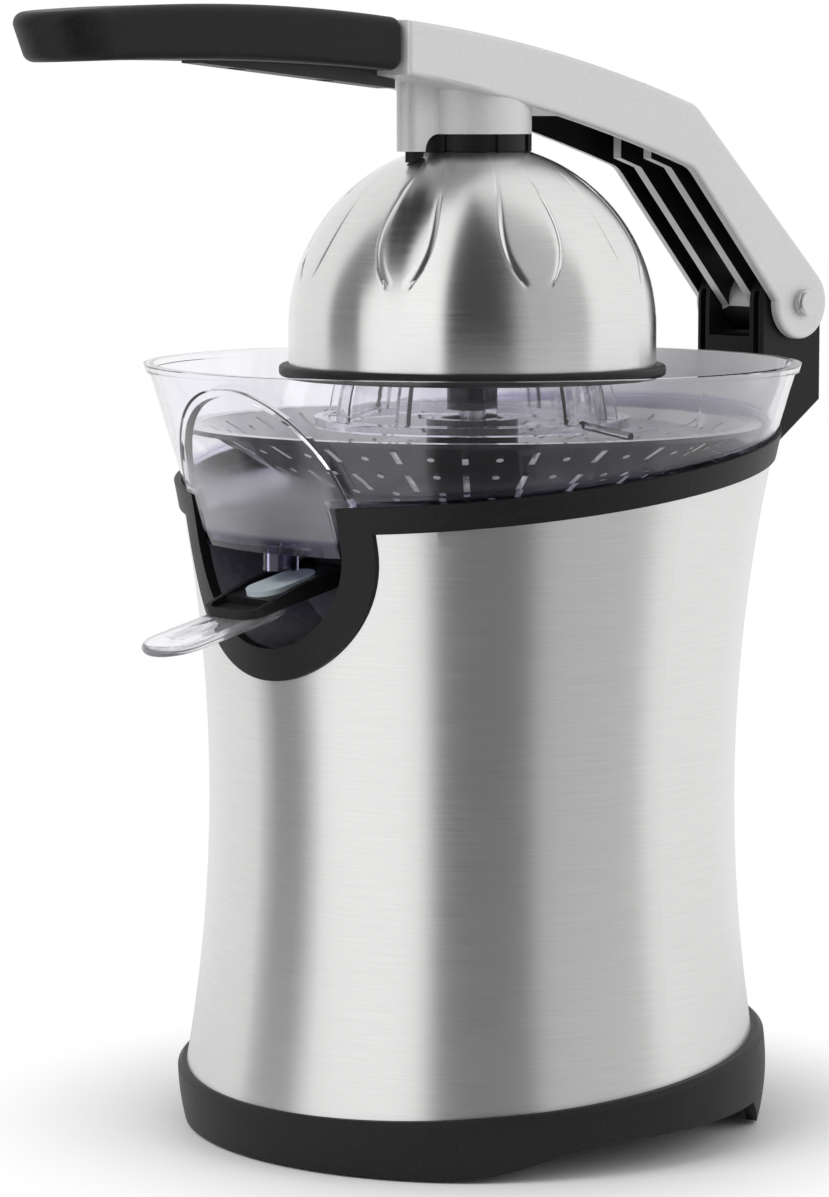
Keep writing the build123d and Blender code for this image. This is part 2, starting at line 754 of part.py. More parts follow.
def gearbox_slab(grow, z, height):
    return Pos(0, 0, z) * extrude(gearbox_outline(grow), amount=height)


housing = gearbox_slab(gearbox_wall, floor_z, cover_z - floor_z) - gearbox_slab(0, floor_top_z, cover_z)
hanger_ring = second_module * wheel_teeth / 2 + gearbox_room + gearbox_wall + hanger_radius - hanger_inset
hanger_spots = [(hanger_ring, 0), (-hanger_ring, -hanger_inset),
                (hanger_inset, idler_y + first_distance + hanger_radius)]
housing += [disc(hanger_radius, floor_z, cover_z - floor_z, x, y) - gearbox_slab(0, floor_top_z, cover_z)
            for x, y in hanger_spots]
bores = [disc(shaft_radius + run_gap, floor_z, gearbox_floor),
         disc(idler_axle_radius + run_gap, floor_z, gearbox_floor, 0, idler_y),
         disc(bearing_radius, floor_z, gearbox_floor, motor_x, motor_y)]
screw_holes = [disc(screw_radius + fit_gap, cover_top_z - gearbox_screw_length, gearbox_screw_length, x, y)
               for x, y in hanger_spots]
housing -= bores
housing -= screw_holes
parts["gearbox_housing"] = housing
cover = gearbox_slab(gearbox_wall, cover_z, gearbox_floor)
cover += [disc(hanger_radius, cover_z, gearbox_floor, x, y) for x, y in hanger_spots]
hang_shift = hanger_radius * 2
cover_posts = [(hanger_ring - hang_shift, 0), (hang_shift - hanger_ring, 0),
               (0, idler_y + first_distance - hang_shift)]
cover += [below(disc(hanger_radius, cover_z, gearbox_drop + cut_over, x, y), rim_plane(-deck_thick))
          for x, y in cover_posts]
cover -= [disc(shaft_radius + run_gap, cover_z, gearbox_floor),
          disc(idler_axle_radius + run_gap, cover_z, gearbox_floor, 0, idler_y)]
cover -= screw_holes
parts["gearbox_cover"] = cover
parts["gearbox_screws"] = Compound(children=[
    disc(screw_radius, cover_top_z - gearbox_screw_length, gearbox_screw_length, x, y)
    + disc(screw_head_radius, cover_top_z, screw_head_height, x, y) for x, y in hanger_spots])

# Motor: laminated stator, two coils, rotor, brackets with sleeve bearings, and a fan
stator_top_z = floor_z - motor_gap
stator_z = stator_top_z - stator_height
stator = block(motor_x - stator_half_x, motor_x + stator_half_x, motor_y - stator_half_y,
               motor_y + stator_half_y, stator_z, stator_top_z)
stator = fillet(stator.edges().filter_by(Axis.Z), stator_corner)
stator -= disc(stator_bore, stator_z, stator_height, motor_x, motor_y)
coils = []
for side in (-1, 1):
    x_edges = sorted([motor_x + side * coil_near, motor_x + side * coil_far])
    coil = block(x_edges[0], x_edges[1], motor_y - coil_outer_half, motor_y + coil_outer_half,
                 stator_z - coil_rise, stator_top_z + coil_rise)
    coil -= block(x_edges[0], x_edges[1], motor_y - coil_inner_half, motor_y + coil_inner_half,
                  stator_z - coil_gap, stator_top_z + coil_gap)
    coils.append(coil)
    for y_side in (-1, 1):
        y_edges = sorted([motor_y + y_side * (coil_inner_half - coil_gap),
                          motor_y + y_side * (coil_outer_half + coil_gap)])
        stator -= block(x_edges[0] - coil_gap, x_edges[1] + coil_gap, y_edges[0], y_edges[1],
                        stator_z, stator_top_z)
parts["motor_stator"] = stator
parts["motor_coils"] = Compound(children=coils)
parts["rotor_core"] = ring(stator_bore - air_gap, rotor_shaft_radius + run_gap, stator_z, stator_height,
                           motor_x, motor_y)


def motor_bracket(face_z, way):
    """Bridge over the stator's end that carries a sleeve bearing; way is +1 above, -1 below."""
    stand_z = face_z + way * bracket_stand
    z_low = min(stand_z, stand_z + way * bracket_thick)
    bar = block(motor_x - bracket_half_width, motor_x + bracket_half_width, motor_y - stator_half_y,
                motor_y + stator_half_y, z_low, z_low + bracket_thick)
    leg_low = min(face_z, stand_z)
    for y_side in (-1, 1):
        y_edges = sorted([motor_y + y_side * stator_half_y, motor_y + y_side * (stator_half_y - bracket_leg)])
        bar += block(motor_x - bracket_half_width, motor_x + bracket_half_width, y_edges[0], y_edges[1],
                     leg_low, leg_low + bracket_stand)
    return bar - disc(bearing_radius + fit_gap, z_low, bracket_thick, motor_x, motor_y)


upper = motor_bracket(stator_top_z, 1)
post_z = stator_top_z + bracket_stand + bracket_thick
post_height = floor_z - post_z
for y_side in (-1, 1):
    post_y = motor_y + y_side * (bearing_radius + motor_post_radius * 2)
    upper += disc(motor_post_radius, post_z, post_height, motor_x, post_y)
parts["upper_bracket"] = upper
parts["lower_bracket"] = motor_bracket(stator_z, -1)
lower_bar_z = stator_z - bracket_stand - bracket_thick
bearing_spots = [post_z - bearing_length, lower_bar_z]
parts["motor_bearings"] = Compound(children=[
    ring(bearing_radius, rotor_shaft_radius + run_gap, z, bearing_length, motor_x, motor_y)
    for z in bearing_spots])
fan_z = lower_bar_z - fan_gap - fan_height
rotor_top_z = first_z + first_width
parts["rotor_shaft"] = disc(rotor_shaft_radius, fan_z, rotor_top_z - fan_z, motor_x, motor_y)
fan = ring(fan_hub_radius, rotor_shaft_radius + run_gap, 0, fan_height)
for i in range(fan_blades):
    blade = block(fan_hub_radius - fan_blade_thick, fan_radius, 0, fan_blade_thick, 0, fan_height)
    fan += Rot(0, 0, 360 / fan_blades * i) * blade
parts["cooling_fan"] = Pos(motor_x, motor_y, fan_z) * fan

# Press switch: the shaft's thrust plunger, its spring, and a small switch under the gearbox
plunger_top_z = shaft_low_z - run_gap
button_top_z = plunger_top_z - plunger_head_height * 2 - press_travel
plunger = disc(plunger_head_radius, plunger_top_z - plunger_head_height, plunger_head_height)
plunger += disc(plunger_radius, button_top_z, plunger_top_z - button_top_z)
parts["switch_plunger"] = plunger
switch_top_z = button_top_z - press_travel - safe_gap
button_length = button_height + press_travel
parts["switch_button"] = disc(button_radius, button_top_z - button_length, button_length)
switch_low_z = switch_top_z - switch_height
switch = block(-switch_length / 2, switch_length / 2, -switch_depth / 2, switch_depth / 2,
               switch_low_z, switch_top_z)
switch -= disc(button_radius + run_gap, switch_low_z + fit_gap, switch_height)
parts["microswitch"] = switch
switch_post_x = (plunger_head_radius + switch_length / 2) / 2
switch_post_radius = (switch_length / 2 - plunger_head_radius) / 2 - touch_gap
parts["gearbox_housing"] += [disc(switch_post_radius, switch_top_z, floor_z - switch_top_z, x)
                             for x in (-switch_post_x, switch_post_x)]
spring_length = plunger_top_z - plunger_head_height - switch_top_z
spring_inner = plunger_head_radius - spring_wire
parts["return_spring"] = ring(plunger_head_radius, spring_inner, switch_top_z, spring_length)

# Press dome, its plastic liner and the bolt through the arm's boss
ring_z = bowl_rim_z - ring_drop
dome_z = ring_z + ring_height
dome_mid_z = dome_z + dome_straight
dome_top_z = dome_mid_z + dome_radius


def dome_form(shrink, low_z):
    """Filled dome: an upright band under half a ball, drawn in by shrink."""
    radius = dome_radius - shrink
    ball = Pos(0, 0, dome_mid_z) * Sphere(radius)
    return above(ball, Plane.XY.offset(dome_mid_z)) + disc(radius, low_z, dome_mid_z - low_z)


bolt_hole = disc(bolt_radius + fit_gap, dome_mid_z, pivot_z)
parts["press_dome"] = dome_form(0, dome_z) - dome_form(dome_wall, dome_z) - bolt_hole
liner_inset = dome_wall + liner_gap
lower_ring = disc(ring_radius, ring_z, ring_height)
lower_ring = fillet(lower_ring.edges(), ring_round)
liner = dome_form(liner_inset, ring_z) + lower_ring
parts["press_liner"] = liner - dome_form(liner_inset + liner_wall, ring_z) - bolt_hole
boss_z = dome_top_z + boss_lift
bolt_head_top_z = dome_top_z - liner_inset - liner_wall - bolt_head_clear
bolt_top_z = boss_z + boss_radius / 2
parts["dome_bolt"] = (disc(bolt_head_radius, bolt_head_top_z - bolt_head_height, bolt_head_height)
                      + disc(bolt_radius, bolt_head_top_z, bolt_top_z - bolt_head_top_z))
fin_z = boss_z - fin_bottom_drop
dome_collar = disc(boss_radius, boss_z - collar_height, collar_height)
for i in range(collar_slot_count):
    slot = block(boss_radius - collar_slot_depth, boss_radius + cut_over, -collar_slot_width / 2,
                 collar_slot_width / 2, dome_mid_z, boss_z)
    dome_collar -= Rot(0, 0, 360 / collar_slot_count * (i + 0.5)) * slot
dome_collar -= dome_form(-fit_gap, dome_z)
dome_collar -= bolt_hole
parts["dome_collar"] = dome_collar
catch = block(-catch_half_width, catch_half_width, catch_front_y, catch_front_y + catch_length,
              fin_z - catch_depth, fin_z - run_gap)
parts["fin_catch"] = catch - dome_form(-fit_gap, dome_z)

# Lever arm: a cast channel with a boss, a front fin, two inner ribs and a pivot lug
arm_front_y = pivot_y - arm_front_back
arm_mid_y = pivot_y - arm_mid_back
bend_top = (pivot_y - arm_bend_top_back, pivot_z + arm_bend_top_rise)
bend_low = (pivot_y - arm_bend_low_back, pivot_z + arm_bend_low_rise)


def touch_point(point, radius, way):
    """Where a line from the point touches a circle around the pivot, on one side of it."""
    dy = point[0] - pivot_y
    dz = point[1] - pivot_z
    angle = atan2(dz, dy) + way * acos(radius / hypot(dy, dz))
    return pivot_y + radius * cos(angle), pivot_z + radius * sin(angle)


def arm_outline(drop):
    """Side outline of the arm; drop lowers its top edge, for the hollow."""
    top_end = touch_point((bend_top[0] - drop, bend_top[1] - drop), arm_end_radius - drop, -1)
    low_end = touch_point(bend_low, arm_neck_radius, 1)
    front_top = (0, arm_front_y, pivot_z + arm_front_top_rise - drop)
    front_low = (0, arm_front_y, pivot_z + arm_front_low_rise)
    top = ThreePointArc(front_top, (0, arm_mid_y, pivot_z + arm_mid_top_rise - drop),
                        (0, bend_top[0] - drop, bend_top[1] - drop))
    low = ThreePointArc(front_low, (0, arm_mid_y, pivot_z + arm_mid_low_rise), (0, *bend_low))
    back = Polyline((0, bend_top[0] - drop, bend_top[1] - drop), (0, *top_end), (0, pivot_y, pivot_z),
                    (0, *low_end), (0, *bend_low))
    return [top, back, low, Line(front_low, front_top)]


def arm_slab(half, drop):
    return slab_x(arm_outline(drop), -half, half)


arm = arm_slab(arm_half_width, 0) + rod_x(arm_end_radius, -arm_half_width, arm_half_width, pivot_y, pivot_z)
across = arm.edges().filter_by(Axis.X)
arm = fillet([across.sort_by_distance((0, *bend_top))[0], across.sort_by_distance((0, *bend_low))[0]],
             arm_bend_radius)
arm_sides = [arm.faces().sort_by(Axis.X)[0], arm.faces().sort_by(Axis.X)[-1]]
arm = fillet([edge for face in arm_sides for edge in face.edges()], arm_edge_round)
inner_half = arm_half_width - arm_wall
hollow_front_y = boss_radius + arm_wall
hollow = block(-inner_half, inner_half, hollow_front_y, pivot_y + cut_over, pivot_z - cut_over,
               pivot_z + arm_front_top_rise)
roof = arm_slab(inner_half, 0) - arm_slab(inner_half + cut_over, arm_wall)
roof -= rod_x(web_clear_radius, -arm_half_width, arm_half_width, pivot_y, pivot_z)
arm -= hollow - roof
rib_body = slab_x(arm_outline(fit_gap), rib_half_gap, lug_half)
rib_zone = block(-arm_half_width, arm_half_width, bend_low[0] - arm_bend_radius, pivot_y, pivot_z - cut_over,
                 bend_top[1] - arm_wall / 2)
ribs = (rib_body + mirror(rib_body, Plane.YZ)) & rib_zone
arm += ribs
arm += rod_x(lug_radius, -lug_half, lug_half, pivot_y, pivot_z)
boss_top_z = pivot_z + arm_front_low_rise
arm += disc(boss_radius, boss_z, boss_top_z - boss_z)
fin_tail_y = fin_web_y - fin_bottom_drop
fin_mid = fin_bottom_drop * sqrt(0.5)
fin_lines = [Polyline((0, fin_tail_y, fin_z), (0, fin_front_y + fin_half_width, fin_z),
                      (0, fin_front_y + fin_half_width, boss_top_z), (0, 0, boss_top_z), (0, 0, boss_z),
                      (0, fin_web_y, boss_z)),
             ThreePointArc((0, fin_web_y, boss_z), (0, fin_web_y - fin_mid, fin_z + fin_mid),
                           (0, fin_tail_y, fin_z))]
arm += slab_x(fin_lines, -fin_half_width, fin_half_width)
arm += disc(fin_half_width, fin_z, boss_top_z - fin_z, 0, fin_front_y + fin_half_width)
tang_mid_z = pivot_z + (grip_rear_top_rise + grip_rear_low_rise) / 2
tang_low_z = tang_mid_z - tang_thick / 2
tang_front_y = arm_front_y - tang_reach
tang_top_z = tang_low_z + tang_thick
arm += block(-tang_half_width, tang_half_width, tang_front_y, arm_front_y, tang_low_z, tang_top_z)
arm -= rod_x(pin_radius + run_gap, -arm_half_width, arm_half_width, pivot_y, pivot_z)
arm -= disc(bolt_radius + run_gap, boss_z, bolt_top_z - boss_z)
wedge_front_y = arm_front_y - wedge_reach
grip_screw_spots = [wedge_front_y + wedge_reach * share for share in grip_screw_shares]
grip_screw_z = tang_low_z - screw_head_height / 2
grip_screw_length = tang_thick
arm -= [disc(screw_radius + fit_gap, tang_low_z, grip_screw_length, 0, y) for y in grip_screw_spots]
parts["lever_arm"] = arm

# Hinge pin with round end caps, running in two bushes in the tower's ears
pin = rod_x(pin_radius, -arm_half_width, arm_half_width, pivot_y, pivot_z)
pin += rod_x(pin_cap_radius, arm_half_width, arm_half_width + pin_cap_thick, pivot_y, pivot_z)
pin += rod_x(pin_cap_radius, -arm_half_width - pin_cap_thick, -arm_half_width, pivot_y, pivot_z)
cap_faces = [pin.faces().sort_by(Axis.X)[0], pin.faces().sort_by(Axis.X)[-1]]
pin = fillet([edge for face in cap_faces for edge in face.edges()], pin_neck)
parts["pivot_pin"] = pin
ear_bush_radius = pin_radius + pin_neck
parts["pivot_bushes"] = Compound(children=[
    rod_x(ear_bush_radius, x_low, x_high, pivot_y, pivot_z)
    - rod_x(pin_radius + run_gap, x_low, x_high, pivot_y, pivot_z)
    for x_low, x_high in ((ear_slot_half, tower_half_width), (-tower_half_width, -ear_slot_half))])

# Grip: a crowned handle over the arm's tang, with a wedge under its rear half
grip_rear_y = arm_front_y - fit_gap
grip_crown_y = arm_front_y - grip_crown_reach
grip_top = ThreePointArc((0, arm_front_y - grip_arc_reach, pivot_z + grip_tip_top_rise),
                         (0, grip_crown_y, pivot_z + grip_crown_rise),
                         (0, grip_rear_y, pivot_z + grip_rear_top_rise))
grip_low = ThreePointArc((0, grip_rear_y, pivot_z + grip_rear_low_rise),
                         (0, grip_crown_y, pivot_z + grip_crown_low_rise),
                         (0, arm_front_y - grip_low_arc_reach, pivot_z + grip_tip_low_rise))
grip = slab_x([grip_top, Line(grip_top @ 1, grip_low @ 0), grip_low, Line(grip_low @ 1, grip_top @ 0)],
              -grip_half_width - cut_over, grip_half_width + cut_over)
nose_lean = (grip_length - grip_low_length) / (grip_tip_top_rise - grip_tip_low_rise)
nose_y = arm_front_y - grip_low_length + grip_half_width
nose_z = pivot_z + grip_tip_low_rise
grip_plan = Circle(grip_half_width)
grip_plan += Pos(0, arm_front_back / 2) * Rectangle(grip_half_width * 2, arm_front_back)
nose_low = Pos(0, nose_y + nose_lean * cut_over, nose_z - cut_over) * grip_plan
nose_high_z = cut_over * 3
grip &= extrude(nose_low, amount=nose_high_z * hypot(1, nose_lean), dir=(0, -nose_lean, 1))
grip = fillet(grip.edges(), grip_round)
wedge_top_z = pivot_z + grip_crown_low_rise + wedge_front_depth
wedge_rear_y = fin_front_y - wedge_fin_gap
wedge = slab_x(outline_yz([(wedge_front_y, pivot_z + grip_crown_low_rise - wedge_front_depth),
                           (wedge_rear_y, pivot_z + arm_front_low_rise - wedge_rear_drop),
                           (wedge_rear_y, wedge_top_z), (wedge_front_y, wedge_top_z)]),
               -wedge_half_width, wedge_half_width)
wedge -= grip
wedge -= Pos(0, -fit_gap, -fit_gap) * arm_slab(arm_half_width, 0)
tang_hole_half = tang_half_width + tang_gap
tang_hole = block(-tang_hole_half, tang_hole_half, tang_front_y - tang_gap, arm_front_y,
                  tang_low_z - tang_gap, tang_top_z + tang_gap)
screw_cuts = [disc(screw_radius + fit_gap, grip_screw_z, tang_low_z + tang_thick - grip_screw_z, 0, y)
              + disc(screw_head_radius + fit_gap, grip_screw_z - cut_over, cut_over, 0, y)
              for y in grip_screw_spots]
grip -= tang_hole
grip -= screw_cuts
wedge -= screw_cuts
parts["grip_upper"] = grip
parts["grip_lower"] = wedge
parts["grip_screws"] = Compound(children=[
    disc(screw_radius, grip_screw_z, tang_low_z + grip_screw_length - grip_screw_z, 0, y)
    + disc(screw_head_radius, grip_screw_z - screw_head_height, screw_head_height, 0, y)
    for y in grip_screw_spots])

# Hinge tower: a column behind the bowl with two cored ears, carried by the rim frame
tower_front_y = pivot_y - tower_front
tower_rear_y = pivot_y + tower_rear
tower_mid_y = (tower_front_y + tower_rear_y) / 2
tower_round = (tower_rear_y - tower_front_y) / 2
knee_z = pivot_z - tower_knee_drop
foot_z = pivot_z - tower_foot_drop
throat_z = pivot_z - tower_throat_drop
saddle_z = rim_mid_z + rim_band_height + rim_slope * body_top_radius
saddle_y = bowl_radius(saddle_z) + tower_throat_gap
root_y = waist_radius
column = [ThreePointArc((0, tower_front_y, pivot_z), (0, tower_mid_y, pivot_z + tower_round),
                        (0, tower_rear_y, pivot_z)),
          Polyline((0, tower_rear_y, pivot_z), (0, tower_rear_y, knee_z), (0, body_top_radius, foot_z),
                   (0, root_y, foot_z), (0, root_y, saddle_z), (0, saddle_y, saddle_z),
                   (0, tower_front_y, throat_z), (0, tower_front_y, pivot_z))]
tower = slab_x(column, -tower_half_width, tower_half_width)
tower_sides = [tower.faces().sort_by(Axis.X)[0], tower.faces().sort_by(Axis.X)[-1]]
tower = fillet([edge for face in tower_sides for edge in face.edges()], tower_edge_round)
tower -= waisted(foot_z - cut_over, saddle_z + cut_over / 4, -rim_proud - fit_gap, 0)
tower -= block(-ear_slot_half, ear_slot_half, tower_front_y - cut_over, tower_rear_y + cut_over,
               pivot_z - slot_floor_drop, pivot_z + tower_round + cut_over)
ear_mid = (ear_slot_half + tower_half_width) / 2
for side in (-1, 1):
    core_x = side * ear_mid
    core = block(core_x - ear_core_width / 2, core_x + ear_core_width / 2, tower_front_y - cut_over,
                 tower_front_y + ear_core_depth, throat_z + ear_core_top, pivot_z + ear_core_top)
    core += rod_y(ear_core_width / 2, tower_front_y - cut_over, tower_front_y + ear_core_depth, core_x,
                  pivot_z + ear_core_top)
    tower -= core
tower -= rod_x(ear_bush_radius + run_gap, -tower_half_width, tower_half_width, pivot_y, pivot_z)
tower_screw_z = saddle_z - rim_band_height / 2
tower_screw_y = body_radius(tower_screw_z) - rim_wall_inset + tower_screw_head
tower_screw_spots = [-tower_screw_spread, tower_screw_spread]
tower_screws = [rod_y(screw_radius, tower_screw_y, tower_screw_y + tower_screw_length, x, tower_screw_z)
                + rod_y(screw_head_radius, tower_screw_y - tower_screw_head, tower_screw_y, x, tower_screw_z)
                for x in tower_screw_spots]
tower_screw_end_y = tower_screw_y + tower_screw_length
tower_screw_cuts = [rod_y(screw_radius + fit_gap, tower_screw_y, tower_screw_end_y, x, tower_screw_z)
                    + rod_y(screw_head_radius + fit_gap, 0, tower_screw_y, x, tower_screw_z)
                    for x in tower_screw_spots]
tower -= tower_screw_cuts
parts["hinge_tower"] = tower
parts["rim_frame"] -= tower_screw_cuts
parts["tower_screws"] = Compound(children=tower_screws)


# Drip stop: a hinged tray with a silicone pad under the nozzle and a clear thumb tongue
def tilted(part):
    """Drawn level through the pivot, then lowered at the front to the open position."""
    turned_down = Rot(drip_slope, 0, 0) * Pos(0, -drip_pivot_y, -drip_pivot_z) * part
    return Pos(0, drip_pivot_y, drip_pivot_z) * turned_down


tray_top_z = drip_pivot_z + drip_plate_thick / 2
tray_low_z = drip_pivot_z - drip_plate_thick / 2
tray = block(-drip_half_width, drip_half_width, drip_front_y, drip_pivot_y, tray_low_z, tray_top_z)
tray = fillet(tray.edges().filter_by(Axis.Z).group_by(Axis.Y)[0], drip_half_width / 2)
rail_inner = drip_half_width - drip_rail_width
rail_top_z = tray_top_z + drip_rail_height
rails = block(-drip_half_width, drip_half_width, drip_front_y, drip_pivot_y, tray_top_z, rail_top_z)
rails = fillet(rails.edges().filter_by(Axis.Z).group_by(Axis.Y)[0], drip_half_width / 2)
rail_front_y = drip_front_y + drip_half_width / 2
rails -= block(-rail_inner, rail_inner, rail_front_y, drip_pivot_y, tray_top_z, rail_top_z)
tray += rails
tray += rod_x(drip_pin_radius * 2, -drip_half_width, drip_half_width, drip_pivot_y, drip_pivot_z)
pad_plan = SlotOverall(pad_half_length * 2, pad_half_width * 2, rotation=90)
pad_z = tray_top_z - pad_recess
pad = Pos(0, nozzle_y, pad_z) * extrude(pad_plan, amount=pad_thick)
tray -= Pos(0, nozzle_y, pad_z) * extrude(offset(pad_plan, fit_gap), amount=pad_thick)
tray -= rod_x(drip_pin_radius + run_gap, -drip_half_width, drip_half_width, drip_pivot_y, drip_pivot_z)
parts["drip_tray"] = tilted(tray)
parts["drip_seal"] = tilted(pad)
pin_half = drip_half_width + touch_gap + lug_thick
parts["drip_pin"] = rod_x(drip_pin_radius, -pin_half, pin_half, drip_pivot_y, drip_pivot_z)
tongue_low_z = tray_low_z - tongue_thick
tongue_nose_y = tongue_tip_y + tongue_half_width
tongue = block(-tongue_half_width, tongue_half_width, tongue_nose_y, tongue_start_y + tongue_half_width,
               tongue_low_z, tray_low_z)
tongue += disc(tongue_half_width, tongue_low_z, tongue_thick, 0, tongue_nose_y)
parts["drip_tongue"] = tilted(tongue)

os.makedirs("parts", exist_ok=True)
for name, part in parts.items():
    export_step(part, f"parts/{name}.step")
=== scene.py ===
# %% [markdown]
# An electric citrus press: a waisted steel body, a clear bowl with a spout, a ribbed cone, and a
# lever arm that lowers a steel dome. The solids come ready made, in one frame, in metres. This
# lesson gives them light, a camera and finishes, and remodels the pieces whose charm is in the
# detail, such as the engraved dome and the clear thumb tongue.

# %% Load the frame
import json
import math
import bmesh
import bpy
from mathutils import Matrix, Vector
from mathutils.geometry import delaunay_2d_cdt


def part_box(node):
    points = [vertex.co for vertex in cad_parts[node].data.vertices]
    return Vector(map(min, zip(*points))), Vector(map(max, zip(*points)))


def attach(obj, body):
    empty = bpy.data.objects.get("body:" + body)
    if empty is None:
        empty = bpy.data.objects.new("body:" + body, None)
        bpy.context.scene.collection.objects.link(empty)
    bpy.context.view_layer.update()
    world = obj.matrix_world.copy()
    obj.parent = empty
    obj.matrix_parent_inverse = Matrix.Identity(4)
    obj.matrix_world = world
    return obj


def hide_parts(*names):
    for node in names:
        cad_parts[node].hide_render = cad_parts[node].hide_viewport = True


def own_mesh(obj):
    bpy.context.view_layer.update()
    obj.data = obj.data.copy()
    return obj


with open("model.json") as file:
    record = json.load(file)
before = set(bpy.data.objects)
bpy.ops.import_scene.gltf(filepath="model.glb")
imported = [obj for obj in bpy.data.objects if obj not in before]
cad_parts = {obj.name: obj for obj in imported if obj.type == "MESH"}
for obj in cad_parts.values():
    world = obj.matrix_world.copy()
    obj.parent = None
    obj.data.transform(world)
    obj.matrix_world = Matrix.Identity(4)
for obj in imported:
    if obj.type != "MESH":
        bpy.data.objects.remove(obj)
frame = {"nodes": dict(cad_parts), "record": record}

nodes = frame["nodes"]
behaviour = frame["record"]["behaviour"]
body_of_node = {node: body for body, group in behaviour["bodies"].items() for node in group}
slot_of_node = {part["node"]: part["material_slot"] for part in frame["record"]["subparts"]}
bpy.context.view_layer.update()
scene = bpy.context.scene
mm = 0.001


def add_object(name, data):
    """New object in the scene, unturned at the origin."""
    thing = bpy.data.objects.new(name, data)
    scene.collection.objects.link(thing)
    return thing


# %% [markdown]
# The camera stands to the right of the spout, a little above the bowl, with a long lens. A long
# lens from far away keeps the body's sides nearly parallel, as product photographs do.

# %% Camera
camera_azimuth = math.radians(46.5)
camera_reach = 1.2797
camera_height = 0.30488
aim_azimuth = camera_azimuth + math.radians(0.7759)
aim_down = 0.1139
lens_data = bpy.data.cameras.new("product_lens")
lens_data.sensor_width = 36.0
lens_data.lens = 128.4
camera = add_object("product_camera", lens_data)
camera.location = (camera_reach * math.sin(camera_azimuth), -camera_reach * math.cos(camera_azimuth),
                   camera_height)
sight = Vector((-math.sin(aim_azimuth) * math.cos(aim_down), math.cos(aim_azimuth) * math.cos(aim_down),
                -math.sin(aim_down)))
camera.rotation_mode = "QUATERNION"
camera.rotation_quaternion = sight.to_track_quat("-Z", "Y")
bpy.context.scene.camera = camera
print("camera at", [round(v, 3) for v in camera.location])

# %% [markdown]
# Sky, floor, finishes and repeats are all node trees, so a few helpers come first.

# %% Node helpers


def put(tree, kind, **settings):
    """Add a node to a tree, with its plain properties."""
    node = tree.nodes.new(kind)
    for key, value in settings.items():
        setattr(node, key, value)
    return node


def join(tree, source, target):
    """Link an output to an input."""
    tree.links.new(source, target)


def reckon(tree, operation, *values):
    """Math node on sockets and plain numbers. Gives its result."""
    node = put(tree, "ShaderNodeMath", operation=operation)
    for value, target in zip(values, node.inputs):
        if isinstance(value, bpy.types.NodeSocket):
            join(tree, value, target)
        else:
            target.default_value = value
    return node.outputs[0]


def mix_shaders(tree, share, first, second):
    """The first shader where the share is 0, the second where it is 1."""
    mix = put(tree, "ShaderNodeMixShader")
    for source, target in zip((share, first, second), mix.inputs):
        join(tree, source, target)
    return mix.outputs[0]


print("node helpers ready")

# %% [markdown]
# Steel shows its surroundings more than its own colour, so a studio puts pale screens and dark
# gaps around it. One sky ramp, turned by compass direction, holds those screens. The eye sees a
# plain white background, also through clear plastic, and dull surfaces get an even light, so only
# gloss reads the screens. What steel mirrors through the bowl is mostly screen, with some white.

# %% Studio sky
scene.view_settings.view_transform = "Standard"
world = bpy.data.worlds.new("studio")
scene.world = world
world.use_nodes = True
sky = world.node_tree
sky.nodes.clear()
white_sky = (1, 1, 1, 1)
even_light = 0.55
white_inside_clear = 0.35
screen_stops = [(-180, 0.95), (-104, 0.95), (-97, 0.26), (-77, 0.24), (-68, 1.2), (-22, 1.2),
                (-13, 0.06), (22, 0.07), (31, 0.52), (74, 0.58), (84, 1.05), (180, 0.95)]
direction = put(sky, "ShaderNodeTexCoord")
compass = put(sky, "ShaderNodeSeparateXYZ")
join(sky, direction.outputs["Generated"], compass.inputs[0])
back_y = reckon(sky, "MULTIPLY", compass.outputs["Y"], -1.0)
bearing = reckon(sky, "ARCTAN2", compass.outputs["X"], back_y)
from_camera = reckon(sky, "SUBTRACT", bearing, camera_azimuth)
turns = reckon(sky, "DIVIDE", from_camera, 2 * math.pi)
centred = reckon(sky, "ADD", turns, 1.5)
wrapped = reckon(sky, "FRACT", centred)
screens = put(sky, "ShaderNodeValToRGB")
stops = screens.color_ramp.elements
screens.color_ramp.interpolation = "EASE"
while len(stops) > 1:
    stops.remove(stops[-1])
for i, (angle, level) in enumerate(screen_stops):
    place = angle / 360 + 0.5
    stop = stops[0] if i == 0 else stops.new(place)
    stop.position = place
    stop.color = (level, level, level, 1)
join(sky, wrapped, screens.inputs["Fac"])
rays = put(sky, "ShaderNodeLightPath")
plain = put(sky, "ShaderNodeBackground")
plain.inputs["Color"].default_value = white_sky
plain.inputs["Strength"].default_value = even_light
seen = put(sky, "ShaderNodeBackground")
seen.inputs["Color"].default_value = white_sky
mirrored = put(sky, "ShaderNodeBackground")
join(sky, screens.outputs["Color"], mirrored.inputs["Color"])
gloss_or_plain = mix_shaders(sky, rays.outputs["Is Glossy Ray"], plain.outputs[0], mirrored.outputs[0])
not_mirrored = reckon(sky, "LESS_THAN", rays.outputs["Glossy Depth"], 0.5)
seen_through = reckon(sky, "MULTIPLY", rays.outputs["Is Transmission Ray"], not_mirrored)
direct = reckon(sky, "MAXIMUM", rays.outputs["Is Camera Ray"], seen_through)
inside_clear = reckon(sky, "MINIMUM", rays.outputs["Transmission Depth"], white_inside_clear)
bright_share = reckon(sky, "MAXIMUM", direct, inside_clear)
whole_sky = mix_shaders(sky, bright_share, gloss_or_plain, seen.outputs[0])
sky_out = put(sky, "ShaderNodeOutputWorld")
join(sky, whole_sky, sky_out.inputs["Surface"])
print("sky stops", len(stops))

# %% [markdown]
# Two large soft boxes give the form its shading: one high on the left, one weaker on the right.
# They are wide and close, so their shadows have no hard edge.

# %% Soft boxes
lamp_target = Vector((0, 0, 0.15))


